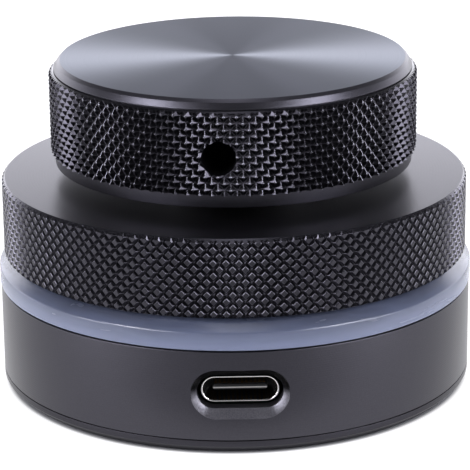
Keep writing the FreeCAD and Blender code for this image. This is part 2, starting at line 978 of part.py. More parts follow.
def knob_body():
    """Turned knob: spun top, stepped rim with a fine groove, diamond knurl, counterbore and hub."""
    disc_radius = knob_radius - knob_disc_inset
    rim_radius = disc_radius + knob_rim_chamfer
    taper_radius = rim_radius + knob_rim_taper
    rim_low = knob_top - knob_rim_chamfer
    taper_low = rim_low - knob_rim_taper_height
    groove_low = taper_low - knob_groove_width
    groove_radius = taper_radius - knob_groove_depth
    land_low = groove_low - knob_land_height
    body = turned(sharp([
        (0, hub_low),
        (knob_counterbore_radius, hub_low),
        (knob_counterbore_radius, knob_low),
        (knob_radius - knob_low_chamfer, knob_low),
        run_out(knob_radius, knob_low + knob_low_chamfer_height, knob_low_chamfer, knob_low_chamfer_height),
        run_out(knob_radius, land_low, knob_radius - taper_radius, -knob_land_height),
        (taper_radius, groove_low),
        (groove_radius, groove_low),
        (groove_radius, taper_low),
        (taper_radius, taper_low),
        (rim_radius, rim_low),
        (disc_radius, knob_top),
        (0, knob_top),
    ]))
    bore_radius = shaft_radius + shaft_running_fit
    bore = cylinder(bore_radius, hub_low - overrun, hub_top)
    flat = shaft_flat_cutter(hub_low - overrun, hub_top, shaft_flat + shaft_running_fit)
    side_hole = grub_bar(grub_hole_radius, 0, knob_radius + 2 * overrun)
    bar = knurled_bar(
        knob_radius, knob_low, groove_low, knob_top,
        knob_knurl_count, knob_knurl_row, knob_knurl_depth,
    )
    return body.cut(bore.cut(flat)).cut(side_hole).common(bar)


pieces = (
    anti_slip_pad, bottom_cover, base_housing, light_ring, upper_housing,
    cover_screws, housing_screws, main_board_screws, light_board_screws,
    usb_shell, usb_tongue, usb_contacts, main_board, controller_chip, regulator_chip,
    board_passives, board_socket, board_header, light_board, light_emitters,
    encoder_case, encoder_frame, encoder_bush, encoder_pins, encoder_rotor, detent_spring,
    switch_dome, switch_plunger, encoder_shaft, encoder_washer, encoder_nut,
    grub_screw, knob_body,
)

os.makedirs("parts", exist_ok=True)
for piece in pieces:
    save(piece.__name__, piece())
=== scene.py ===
import logging
import math
from dataclasses import dataclass, field
from enum import Enum
from typing import Any, Mapping, Sequence

import bmesh
import bpy
import numpy as np
from mathutils import Matrix, Vector


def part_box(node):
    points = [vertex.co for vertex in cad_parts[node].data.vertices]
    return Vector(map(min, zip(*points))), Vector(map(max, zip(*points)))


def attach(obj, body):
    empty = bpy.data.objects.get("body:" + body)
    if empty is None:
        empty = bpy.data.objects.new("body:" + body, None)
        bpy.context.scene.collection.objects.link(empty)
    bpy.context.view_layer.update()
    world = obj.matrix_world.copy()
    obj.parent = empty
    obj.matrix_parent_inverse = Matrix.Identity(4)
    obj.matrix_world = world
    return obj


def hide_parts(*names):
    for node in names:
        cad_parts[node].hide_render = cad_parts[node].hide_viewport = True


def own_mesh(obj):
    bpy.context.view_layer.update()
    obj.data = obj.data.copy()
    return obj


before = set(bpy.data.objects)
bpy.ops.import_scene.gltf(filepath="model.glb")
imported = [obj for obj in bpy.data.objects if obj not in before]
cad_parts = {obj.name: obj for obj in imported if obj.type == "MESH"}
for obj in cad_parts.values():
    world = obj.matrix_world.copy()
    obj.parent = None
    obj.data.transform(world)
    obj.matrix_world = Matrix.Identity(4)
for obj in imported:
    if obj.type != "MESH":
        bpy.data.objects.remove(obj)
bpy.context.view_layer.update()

LOG = logging.getLogger("desk_volume_control")

Piece, Tree, Node, Socket = bpy.types.Object, bpy.types.NodeTree, bpy.types.Node, bpy.types.NodeSocket
Outputs = bpy.types.bpy_prop_collection

# Lengths in the classes below are millimetres; meshes are metres.
MM = 0.001
# Divisions of a full turn and of a rounded corner.
TURN_STEPS = 384
ARC_STEPS = 5
# Edges that turn more than this are sharp, the second within a knurl.
CREASE = math.radians(24)
CUT_CREASE = math.radians(8)
# The port shell's height; the node's box also holds its legs.
USB_HEIGHT = 3.16


class Cut(Enum):
    """How one solid is combined with another."""

    JOIN = "UNION"
    REMOVE = "DIFFERENCE"
    KEEP = "INTERSECT"


class Body(Enum):
    """The bodies of the frame that new pieces ride on."""

    BASE = "base"
    KNOB = "knob"
    PLUNGER = "plunger"


def linear(colour: str) -> tuple[float, float, float, float]:
    """Turns an sRGB hex colour into the linear values that a shader takes.

    Args:
        colour: Six hex digits after a hash sign.

    Returns:
        Linear red, green, blue and an alpha of one.
    """
    channels = [int(colour[start:start + 2], 16) / 255 for start in (1, 3, 5)]
    toe, slope, offset, power = 0.04045, 12.92, 0.055, 2.4
    red, green, blue = (
        channel / slope if channel <= toe else ((channel + offset) / (1 + offset)) ** power
        for channel in channels
    )
    return red, green, blue, 1.0


def feed(tree: Tree, node: Node, inputs: Mapping[Any, Any]) -> None:
    """Gives a node its inputs.

    Args:
        tree: The shader or geometry tree.
        node: The node in it.
        inputs: Values and source sockets, by the input's name or number.
    """
    for key, value in inputs.items():
        if isinstance(value, Socket):
            tree.links.new(value, node.inputs[key])
        else:
            node.inputs[key].default_value = value


def add_node(tree: Tree, kind: str, inputs: Mapping[Any, Any] | None = None, **settings: Any) -> Outputs:
    """Adds one node to a tree.

    Args:
        tree: The shader or geometry tree.
        kind: The node's type.
        inputs: Values and source sockets, by the input's name or number.
        settings: The node's other settings by attribute name.

    Returns:
        The new node's outputs.
    """
    node = tree.nodes.new(kind)
    for name, value in settings.items():
        setattr(node, name, value)
    feed(tree, node, inputs or {})
    return node.outputs


# Turned and lofted shapes


@dataclass(frozen=True)
class Corner:
    """A corner of a turned outline: distance from the axis, level and rounding."""

    radius: float
    level: float
    rounding: float = 0.0


def rounded(corners: Sequence[Corner]) -> list[tuple[float, float]]:
    """Draws each rounded corner of a closed outline as a short arc.

    Args:
        corners: The outline's corners in order.

    Returns:
        Points (radius, level) in millimetres.
    """
    points = []
    for index, corner in enumerate(corners):
        here = Vector((corner.radius, corner.level))
        if corner.rounding <= 0:
            points.append((here.x, here.y))
            continue
        before, after = corners[index - 1], corners[(index + 1) % len(corners)]
        back = (Vector((before.radius, before.level)) - here).normalized()
        ahead = (Vector((after.radius, after.level)) - here).normalized()
        half = back.angle(ahead) / 2
        centre = here + (back + ahead).normalized() * (corner.rounding / math.sin(half))
        start = (here + back * (corner.rounding / math.tan(half)) - centre).normalized()
        finish = (here + ahead * (corner.rounding / math.tan(half)) - centre).normalized()
        for step in range(ARC_STEPS + 1):
            spoke = centre + start.slerp(finish, step / ARC_STEPS) * corner.rounding
            points.append((spoke.x, spoke.y))
    return points


def mesh_object(name: str, points: Sequence[Any], faces: Sequence[Sequence[int]]) -> Piece:
    """Makes a mesh object with its faces turned outwards.

    Args:
        name: The object's name.
        points: Places in metres.
        faces: Loops of point numbers.

    Returns:
        The new object, linked to the scene.
    """
    mesh = bpy.data.meshes.new(name)
    mesh.from_pydata([tuple(place) for place in points], [], faces)
    shell = bmesh.new()
    shell.from_mesh(mesh)
    if shell.calc_volume(signed=True) < 0:
        bmesh.ops.reverse_faces(shell, faces=shell.faces)
    shell.to_mesh(mesh)
    shell.free()
    piece = bpy.data.objects.new(name, mesh)
    bpy.context.scene.collection.objects.link(piece)
    return piece


def turned(name: str, corners: Sequence[Corner], steps: int = TURN_STEPS) -> Piece:
    """Turns a closed outline about the vertical axis.

    Args:
        name: The object's name.
        corners: The outline, anticlockwise with the axis at its left.
        steps: Divisions of the full turn.

    Returns:
        A closed solid of revolution.
    """
    outline = rounded(corners)
    points, rings = [], []
    for radius, level in outline:
        count = steps if radius > 0 else 1
        rings.append((len(points), count))
        for step in range(count):
            angle = math.tau * step / steps
            points.append((radius * math.cos(angle) * MM, radius * math.sin(angle) * MM, level * MM))
    faces = []
    for index, (start, count) in enumerate(rings):
        following, next_count = rings[(index + 1) % len(rings)]
        if count == 1 and next_count == 1:
            continue
        for step in range(steps):
            beside = (step + 1) % steps
            loop = [start + step % count, start + beside % count,
                    following + beside % next_count, following + step % next_count]
            faces.append(list(dict.fromkeys(loop)))
    return mesh_object(name, points, faces)


def lofted(name: str, rings: Sequence[Sequence[Vector]], closed: bool = False) -> Piece:
    """Skins rings that hold equally many points.

    Args:
        name: The object's name.
        rings: Rings of places in metres, each running the same way.
        closed: True joins the last ring to the first, False caps both ends.

    Returns:
        A closed solid.
    """
    count = len(rings[0])
    points = [place for ring in rings for place in ring]
    faces = []
    spans = len(rings) if closed else len(rings) - 1
    for span in range(spans):
        start, following = span * count, (span + 1) % len(rings) * count
        for step in range(count):
            beside = (step + 1) % count
            faces.append((start + step, start + beside, following + beside, following + step))
    if not closed:
        faces.append(tuple(range(count))[::-1])
        faces.append(tuple(range(len(points) - count, len(points))))
    return mesh_object(name, points, faces)


def settled_mesh(piece: Piece) -> None:
    """Turns a piece's modifiers into its plain mesh.

    Args:
        piece: The object, whose modifiers are then removed.
    """
    bpy.context.view_layer.update()
    evaluated = piece.evaluated_get(bpy.context.evaluated_depsgraph_get())
    mesh = bpy.data.meshes.new_from_object(evaluated)
    piece.modifiers.clear()
    piece.data = mesh
    mesh.name = piece.name


def combined(piece: Piece, how: Cut, *tools: Piece) -> Piece:
    """Joins, cuts or trims a solid with others, which are used up.

    Args:
        piece: The solid that is kept.
        how: The way that each tool acts on it.
        tools: The other solids.

    Returns:
        The same piece with its new mesh.
    """
    for tool in tools:
        modifier = piece.modifiers.new("cut", "BOOLEAN")
        modifier.operation = how.value
        modifier.solver = "MANIFOLD"
        modifier.object = tool
        settled_mesh(piece)
        bpy.data.objects.remove(tool)
    return piece


def creased(piece: Piece) -> None:
    """Shades a piece smooth but for its edges.

    An edge is sharp where its faces meet at more than the crease angle or differ in finish. Within
    a knurl's finish a small angle is enough, so that each cut flank and ridge stays flat.

    Args:
        piece: The finished and dressed mesh object.
    """
    mesh = piece.data
    edge_of_corner = np.empty(len(mesh.loops), dtype=np.int32)
    corners = np.empty(len(mesh.polygons), dtype=np.int32)
    finish = np.empty(len(mesh.polygons), dtype=np.int32)
    mesh.loops.foreach_get("edge_index", edge_of_corner)
    mesh.polygons.foreach_get("loop_total", corners)
    mesh.polygons.foreach_get("material_index", finish)
    face_of_corner = np.repeat(np.arange(len(corners)), corners)
    first, second = face_of_corner[np.argsort(edge_of_corner, kind="stable")].reshape(-1, 2).T
    _, normals = faces_of(piece)
    between = np.arccos(np.clip((normals[first] * normals[second]).sum(axis=1), -1, 1))
    cut = np.array([material.name.startswith("knurled") for material in mesh.materials])
    limit = np.where(cut[finish[first]], CUT_CREASE, CREASE)
    mesh.shade_smooth()
    mesh.edges.foreach_set("use_edge_sharp", (between > limit) | (finish[first] != finish[second]))


def obround(width: float, height: float, steps: int) -> list[tuple[float, float]]:
    """Points round a slot outline with half-round ends.

    Args:
        width: Overall width.
        height: Overall height, the ends' diameter.
        steps: Divisions of each half-round end.

    Returns:
        Points (across, up) about the slot's centre.
    """
    radius = height / 2
    reach = width / 2 - radius
    points = []
    for side, start in ((1, -math.pi / 2), (-1, math.pi / 2)):
        for step in range(steps + 1):
            angle = start + math.pi * step / steps
            points.append((side * reach + radius * math.cos(angle), radius * math.sin(angle)))
    return points


# Geometry Nodes for what repeats


class NodeRule:
    """A Geometry Nodes tree with named inputs, built once and run for each pattern."""

    def __init__(self, name: str, sockets: Mapping[str, str]) -> None:
        """Starts the tree.

        Args:
            name: The tree's name.
            sockets: Socket types by input name.
        """
        self.tree = bpy.data.node_groups.new(name, "GeometryNodeTree")
        self.keys = {
            label: self.tree.interface.new_socket(label, in_out="INPUT", socket_type=kind).identifier
            for label, kind in {**sockets, "Finish": "NodeSocketMaterial"}.items()
        }
        self.tree.interface.new_socket("Solid", in_out="OUTPUT", socket_type="NodeSocketGeometry")
        self.inlet = add_node(self.tree, "NodeGroupInput")

    def close(self, geometry: Socket) -> None:
        """Ends the tree with Realize Instances and Set Material.

        Args:
            geometry: The finished shape.
        """
        real = add_node(self.tree, "GeometryNodeRealizeInstances", {0: geometry})[0]
        dressed = add_node(
            self.tree, "GeometryNodeSetMaterial", {"Geometry": real, "Material": self.inlet["Finish"]}
        )[0]
        add_node(self.tree, "NodeGroupOutput", {0: dressed})

    def run(self, name: str, values: Mapping[str, Any]) -> Piece:
        """Runs the tree and keeps its result as a plain mesh.

        Args:
            name: The new object's name.
            values: Input values by name.

        Returns:
            The solid, with no modifier left on it.
        """
        piece = mesh_object(name, [], [])
        modifier = piece.modifiers.new(name, "NODES")
        modifier.node_group = self.tree
        for label, value in values.items():
            modifier[self.keys[label]] = value
        settled_mesh(piece)
        return piece


class KnurlRule(NodeRule):
    """Diamond knurl on a round bar: one cut point set out in staggered rows and wrapped round.

    The point stands in the XZ plane with its depth along Y. Neighbours share their edges, so the
    merged rows are one skin, and its open ends are drawn in to the axis to close the bar.
    """

    def __init__(self) -> None:
        """Builds the tree."""
        super().__init__("diamond_knurl", {
            "Point": "NodeSocketObject", "Teeth": "NodeSocketInt", "Levels": "NodeSocketInt",
            "Radius": "NodeSocketFloat", "Rise": "NodeSocketFloat", "Low": "NodeSocketFloat",
            "Merge gap": "NodeSocketFloat",
        })
        tree, inlet = self.tree, self.inlet
        skin = self.merged(self.wrapped(self.rows()))
        faces = add_node(tree, "GeometryNodeInputMeshEdgeNeighbors")[0]
        rim = add_node(tree, "ShaderNodeMath", {0: faces, 1: 1, 2: 0.5}, operation="COMPARE")[0]
        ends = add_node(tree, "GeometryNodeExtrudeMesh", {
            "Mesh": skin, "Selection": rim, "Offset Scale": 0.0,
        }, mode="EDGES")
        axis = add_node(tree, "ShaderNodeCombineXYZ", {"Z": self.end_level()})[0]
        closed = add_node(tree, "GeometryNodeSetPosition", {
            "Geometry": ends["Mesh"], "Selection": ends["Top"], "Position": axis,
        })[0]
        self.close(self.merged(closed))

    def rows(self) -> Socket:
        """Sets the points out in a plane, each second row half a point aside.

        Returns:
            The mesh of every point.
        """
        tree, inlet = self.tree, self.inlet
        teeth = inlet["Teeth"]
        index = add_node(tree, "GeometryNodeInputIndex")[0]
        column = add_node(tree, "ShaderNodeMath", {0: index, 1: teeth}, operation="FLOORED_MODULO")[0]
        turns = add_node(tree, "ShaderNodeMath", {0: index, 1: teeth}, operation="DIVIDE")[0]
        level = add_node(tree, "ShaderNodeMath", {0: turns}, operation="FLOOR")[0]
        odd = add_node(tree, "ShaderNodeMath", {0: level, 1: 2}, operation="FLOORED_MODULO")[0]
        stagger = add_node(tree, "ShaderNodeMath", {0: odd, 1: 0.5, 2: column}, operation="MULTIPLY_ADD")[0]
        girth = add_node(tree, "ShaderNodeMath", {0: inlet["Radius"], 1: math.tau}, operation="MULTIPLY")[0]
        pitch = add_node(tree, "ShaderNodeMath", {0: girth, 1: teeth}, operation="DIVIDE")[0]
        across = add_node(tree, "ShaderNodeMath", {0: stagger, 1: pitch}, operation="MULTIPLY")[0]
        up = add_node(tree, "ShaderNodeMath", {
            0: level, 1: inlet["Rise"], 2: inlet["Low"],
        }, operation="MULTIPLY_ADD")[0]
        site = add_node(tree, "ShaderNodeCombineXYZ", {"X": across, "Z": up})[0]
        count = add_node(tree, "ShaderNodeMath", {0: teeth, 1: inlet["Levels"]}, operation="MULTIPLY")[0]
        sites = add_node(tree, "GeometryNodePoints", {"Count": count, "Position": site})[0]
        point = add_node(tree, "GeometryNodeObjectInfo", {"Object": inlet["Point"]})["Geometry"]
        rows = add_node(tree, "GeometryNodeInstanceOnPoints", {"Points": sites, "Instance": point})[0]
        return add_node(tree, "GeometryNodeRealizeInstances", {0: rows})[0]

    def wrapped(self, rows: Socket) -> Socket:
        """Wraps the plane of points round the bar.

        Args:
            rows: The mesh of every point.

        Returns:
            The same mesh on the bar.
        """
        tree, radius = self.tree, self.inlet["Radius"]
        flat = self.places()
        turn = add_node(tree, "ShaderNodeMath", {0: flat["X"], 1: radius}, operation="DIVIDE")[0]
        reach = add_node(tree, "ShaderNodeMath", {0: radius, 1: flat["Y"]}, operation="SUBTRACT")[0]
        spokes = {"Z": flat["Z"]}
        for axis, way in (("X", "COSINE"), ("Y", "SINE")):
            share = add_node(tree, "ShaderNodeMath", {0: turn}, operation=way)[0]
            spokes[axis] = add_node(tree, "ShaderNodeMath", {0: share, 1: reach}, operation="MULTIPLY")[0]
        place = add_node(tree, "ShaderNodeCombineXYZ", spokes)[0]
        return add_node(tree, "GeometryNodeSetPosition", {"Geometry": rows, "Position": place})[0]

    def places(self) -> Outputs:
        """Where each vertex is.

        Returns:
            Sockets with its X, Y and Z.
        """
        position = add_node(self.tree, "GeometryNodeInputPosition")[0]
        return add_node(self.tree, "ShaderNodeSeparateXYZ", {0: position})

    def merged(self, geometry: Socket) -> Socket:
        """Joins the vertices that lie together.

        Args:
            geometry: The mesh before the join.

        Returns:
            The mesh after it.
        """
        return add_node(self.tree, "GeometryNodeMergeByDistance", {
            "Geometry": geometry, "Distance": self.inlet["Merge gap"],
        })[0]

    def end_level(self) -> Socket:
        """Levels of the bar's two ends at the axis.

        Returns:
            The lowest level of the bar below its middle and the highest above it.
        """
        tree, rise, low = self.tree, self.inlet["Rise"], self.inlet["Low"]
        height = add_node(tree, "ShaderNodeMath", {0: self.inlet["Levels"], 1: rise}, operation="MULTIPLY")[0]
        middle = add_node(tree, "ShaderNodeMath", {0: height, 1: 0.5, 2: low}, operation="MULTIPLY_ADD")[0]
        level = self.places()["Z"]
        above = add_node(tree, "ShaderNodeMath", {0: level, 1: middle}, operation="GREATER_THAN")[0]
        foot = add_node(tree, "ShaderNodeMath", {0: low, 1: rise}, operation="SUBTRACT")[0]
        whole = add_node(tree, "ShaderNodeMath", {0: height, 1: rise}, operation="ADD")[0]
        return add_node(tree, "ShaderNodeMath", {0: above, 1: whole, 2: foot}, operation="MULTIPLY_ADD")[0]


class BarRule(NodeRule):
    """Upright bars or cones on a circle: posts, screw holes and countersinks."""

    def __init__(self, sides: int = 48) -> None:
        """Builds the tree.

        Args:
            sides: Sides of each bar.
        """
        super().__init__("ring_of_bars", {
            "Count": "NodeSocketInt", "Circle": "NodeSocketFloat", "First": "NodeSocketFloat",
            "Low": "NodeSocketFloat", "High": "NodeSocketFloat",
            "Low radius": "NodeSocketFloat", "High radius": "NodeSocketFloat",
        })
        tree, inlet = self.tree, self.inlet
        ring = add_node(
            tree, "GeometryNodeMeshCircle", {"Vertices": inlet["Count"], "Radius": inlet["Circle"]}
        )[0]
        low, high = inlet["Low"], inlet["High"]
        height = add_node(tree, "ShaderNodeMath", {0: high, 1: low}, operation="SUBTRACT")[0]
        bar = add_node(tree, "GeometryNodeMeshCone", {
            "Vertices": sides, "Radius Top": inlet["High radius"], "Radius Bottom": inlet["Low radius"],
            "Depth": height,
        })["Mesh"]
        set_out = add_node(tree, "GeometryNodeInstanceOnPoints", {"Points": ring, "Instance": bar})[0]
        lift = add_node(tree, "ShaderNodeCombineXYZ", {"Z": low})[0]
        swing = add_node(tree, "ShaderNodeCombineXYZ", {"Z": inlet["First"]})[0]
        self.close(add_node(tree, "GeometryNodeTransform", {
            "Geometry": set_out, "Translation": lift, "Rotation": swing,
        })[0])


@dataclass(frozen=True)
class ScrewCircle:
    """Screws set out evenly on a circle, with the posts and holes that take them."""

    count: int
    circle: float
    first: float

    def bars(
        self, rule: BarRule, name: str, low: float, high: float, radius: float, flare: float = 0.0
    ) -> Piece:
        """Makes an upright bar at each screw.

        Args:
            rule: The Geometry Nodes tree that sets bars out.
            name: The bars' name.
            low: Their lowest level, in millimetres.
            high: Their highest level.
            radius: Their radius.
            flare: What the radius gains at the lowest level.

        Returns:
            One object with every bar.
        """
        return rule.run(name, {
            "Count": self.count, "Circle": self.circle * MM, "First": math.radians(self.first),
            "Low": low * MM, "High": high * MM,
            "Low radius": (radius + flare) * MM, "High radius": radius * MM,
        })


# The circles of screws, and the radii of the posts, holes and passes on them.
COVER_SCREWS = ScrewCircle(count=4, circle=23.6, first=67.5)
HOUSING_SCREWS = ScrewCircle(count=4, circle=23.8, first=22.5)
BOARD_SCREWS = ScrewCircle(count=4, circle=18.0, first=45.0)
LIGHT_BOARD_SCREWS = ScrewCircle(count=3, circle=17.0, first=60.0)
POST_RADIUS = 2.3
SCREW_HOLE = 1.04
SCREW_PASS = 1.2
# How far a hole runs past its screw's end.
HOLE_DEPTH = 0.4


# Finishes


@dataclass(frozen=True)
class Finish:
    """A named finish; each kind adds its own surface."""

    name: str

    def make(self) -> bpy.types.Material:
        """Builds the material.

        Returns:
            The new material.
        """
        material = bpy.data.materials.new(self.name)
        material.use_nodes = True
        tree = material.node_tree
        tree.nodes.clear()
        surface = add_node(tree, "ShaderNodeBsdfPrincipled")[0]
        add_node(tree, "ShaderNodeOutputMaterial", {"Surface": surface})
        self.dress(tree, surface.node, add_node(tree, "ShaderNodeTexCoord")["Object"])
        return material

    def dress(self, tree: Tree, shader: Node, place: Socket) -> None:
        """Sets the shader's values and patterns.

        Args:
            tree: The material's tree.
            shader: Its Principled shader.
            place: Object coordinates in metres.
        """
        raise NotImplementedError


def radius_at(tree: Tree, place: Socket) -> Socket:
    """Distance from the vertical axis.

    Args:
        tree: The material's tree.
        place: Object coordinates.

    Returns:
        A socket in metres.
    """
    flat = add_node(tree, "ShaderNodeVectorMath", {0: place, 1: (1, 1, 0)}, operation="MULTIPLY")[0]
    return add_node(tree, "ShaderNodeVectorMath", {0: flat}, operation="LENGTH")["Value"]


def waves(tree: Tree, path: Socket, pitch: float) -> Socket:
    """Even waves along a path.

    Args:
        tree: The material's tree.
        path: Distance along the path in metres.
        pitch: Distance from crest to crest in millimetres.

    Returns:
        A socket that swings from -1 to 1.
    """
    turn = add_node(tree, "ShaderNodeMath", {0: path, 1: math.tau / (pitch * MM)}, operation="MULTIPLY")[0]
    return add_node(tree, "ShaderNodeMath", {0: turn}, operation="SINE")[0]


def patterned(
    tree: Tree, shader: Node, share: Socket, colours: tuple[str, str], depth: float,
    roughness: tuple[float, float] | None = None, height: Socket | None = None, under: Socket | None = None,
) -> None:
    """Lets one pattern vary a shader's colour and roughness and raise its surface.

    Args:
        tree: The material's tree.
        shader: Its Principled shader.
        share: The pattern, from 0 to 1.
        colours: Hex colours at 0 and at 1.
        depth: How far the surface is raised, in millimetres.
        roughness: Roughness at 0 and at 1, where the pattern varies it.
        height: What raises the surface, where it isn't the pattern.
        under: The surface that is raised, where it isn't the mesh.
    """
    first, second = (linear(colour) for colour in colours)
    tint = add_node(tree, "ShaderNodeMix", {0: share, 6: first, 7: second}, data_type="RGBA")[2]
    surface = {"Base Color": tint}
    if roughness:
        low, high = roughness
        rough = add_node(tree, "ShaderNodeMapRange", {"Value": share, "To Min": low, "To Max": high})[0]
        surface["Roughness"] = rough
    raised = {"Strength": 1.0, "Distance": depth * MM, "Height": share if height is None else height}
    if under is not None:
        raised["Normal"] = under
    surface["Normal"] = add_node(tree, "ShaderNodeBump", raised)[0]
    feed(tree, shader, surface)


@dataclass(frozen=True)
class Grained(Finish):
    """A surface whose tone, gloss and height all follow one fine grain.

    The grain is a size in millimetres; a stretch under 1 draws it out along Y.
    """

    colour: str
    fleck: str
    roughness: float = 0.3
    smoother: float = 0.06
    rougher: float = 0.08
    grain: float = 0.3
    grain_depth: float = 0.002
    detail: float = 3.0
    stretch: float = 1.0
    metallic: float = 1.0

    def under(self, tree: Tree, place: Socket) -> Socket | None:
        """The surface that the grain is raised on.

        Args:
            tree: The material's tree.
            place: Object coordinates.

        Returns:
            A socket with its normal, or nothing where that is the mesh.
        """
        return None

    def dress(self, tree: Tree, shader: Node, place: Socket) -> None:
        """Adds the grain."""
        feed(tree, shader, {"Metallic": self.metallic})
        drawn = add_node(tree, "ShaderNodeMapping", {"Vector": place, "Scale": (1.0, self.stretch, 1.0)})[0]
        grain = add_node(tree, "ShaderNodeTexNoise", {
            "Scale": 1 / (self.grain * MM), "Detail": self.detail, "Vector": drawn,
        })[0]
        patterned(
            tree, shader, grain, (self.colour, self.fleck), self.grain_depth,
            (self.roughness - self.smoother, self.roughness + self.rougher), under=self.under(tree, place),
        )


@dataclass(frozen=True)
class AnodisedAluminium(Grained):
    """Turned aluminium, blasted and anodised black.

    The dyed oxide gives a deep grey sheen that brightens at low angles; the fine grain of the
    blasting keeps highlights soft, and the tool's rings show as faint lines round the piece. The
    ring pitch is coarser than a real tool's feed, so that it shows.
    """

    colour: str = "#3C3B40"
    fleck: str = "#4A494F"
    roughness: float = 0.33
    smoother: float = 0.05
    rougher: float = 0.07
    grain: float = 0.12
    grain_depth: float = 0.004
    detail: float = 4.0
    ring_pitch: float = 0.35
    ring_depth: float = 0.0015
    ring_climb: float = 1.3

    def under(self, tree: Tree, place: Socket) -> Socket | None:
        """The turned surface, with the tool's rings."""
        level = add_node(tree, "ShaderNodeSeparateXYZ", {0: place})["Z"]
        path = add_node(tree, "ShaderNodeMath", {
            0: level, 1: self.ring_climb, 2: radius_at(tree, place),
        }, operation="MULTIPLY_ADD")[0]
        return add_node(tree, "ShaderNodeBump", {
            "Strength": 1.0, "Distance": self.ring_depth * MM, "Height": waves(tree, path, self.ring_pitch),
        })[0]


@dataclass(frozen=True)
class BlastedRecess(AnodisedAluminium):
    """Milled pocket, blasted coarser than the wall.

    Its lower slope glitters with the grain of the blasting, while its upper side, which faces down, is
    painted nearly black as painted shade.
    """

    colour: str = "#4C4B51"
    fleck: str = "#939298"
    roughness: float = 0.36
    grain: float = 0.14
    grain_depth: float = 0.03
    # Painted shade: nearly black, blended in between these two levels on the pocket's upper side.
    painted_shade: str = "#0C0C0E"
    painted_shade_low: float = 6.3
    painted_shade_high: float = 7.9

    def dress(self, tree: Tree, shader: Node, place: Socket) -> None:
        """Adds painted shade, nearly black, above the pocket's middle."""
        super().dress(tree, shader, place)
        level = add_node(tree, "ShaderNodeSeparateXYZ", {0: place})["Z"]
        shade_rise = add_node(tree, "ShaderNodeMapRange", {
            "Value": level, "From Min": self.painted_shade_low * MM, "From Max": self.painted_shade_high * MM,
        }, interpolation_type="SMOOTHSTEP")[0]
        metal = shader.inputs["Base Color"].links[0].from_socket
        # Mixes the metal towards the painted shade colour higher up.
        dyed = add_node(tree, "ShaderNodeMix", {0: shade_rise, 6: metal, 7: linear(self.painted_shade)}, data_type="RGBA")[2]
        feed(tree, shader, {"Base Color": dyed})


@dataclass(frozen=True)
class KnurledAluminium(Grained):
    """Cut diamond knurl, anodised black.

    Flanks and grooves stay nearly black, while the thin ridges between them are rubbed lighter and
    smoother by fingers, so each point is drawn by fine bright lines.
    """

    colour: str = "#3C3B40"
    fleck: str = "#444349"
    roughness: float = 0.22
    smoother: float = 0.03
    rougher: float = 0.05
    grain: float = 0.18
    grain_depth: float = 0.004


@dataclass(frozen=True)
class SpunAluminium(Finish):
    """Aluminium face cut by a tool that runs in fine circles, then anodised.

    The circular grooves scatter light across themselves only, so highlights open out from the
    centre as bright wedges, with a faint ripple of rings. Across is the turn, as a share of a full
    one, that lays the stretch across the grooves, whose pitch is coarser than real so that it shows.
    """

    colour: str = "#55555C"
    shade: str = "#48484F"
    grazing: str = "#D8DBDE"
    roughness: float = 0.33
    stretch: float = 0.92
    across: float = 0.25
    groove: float = 0.22
    groove_depth: float = 0.0009

    def dress(self, tree: Tree, shader: Node, place: Socket) -> None:
        """Adds the grooves and their stretched highlights."""
        feed(tree, shader, {
            "Metallic": 1.0, "Roughness": self.roughness, "Specular Tint": linear(self.grazing),
            "Anisotropic": self.stretch, "Anisotropic Rotation": self.across,
            "Tangent": add_node(tree, "ShaderNodeTangent", direction_type="RADIAL", axis="Z")[0],
        })
        radius = radius_at(tree, place)
        band = add_node(tree, "ShaderNodeTexNoise", {
            "Scale": 1 / (self.groove * MM), "Detail": 2.0, "W": radius,
        }, noise_dimensions="1D")[0]
        wave = waves(tree, radius, self.groove)
        cut = add_node(tree, "ShaderNodeMath", {0: wave, 1: band}, operation="MULTIPLY")[0]
        patterned(tree, shader, band, (self.colour, self.shade), self.groove_depth, height=cut)


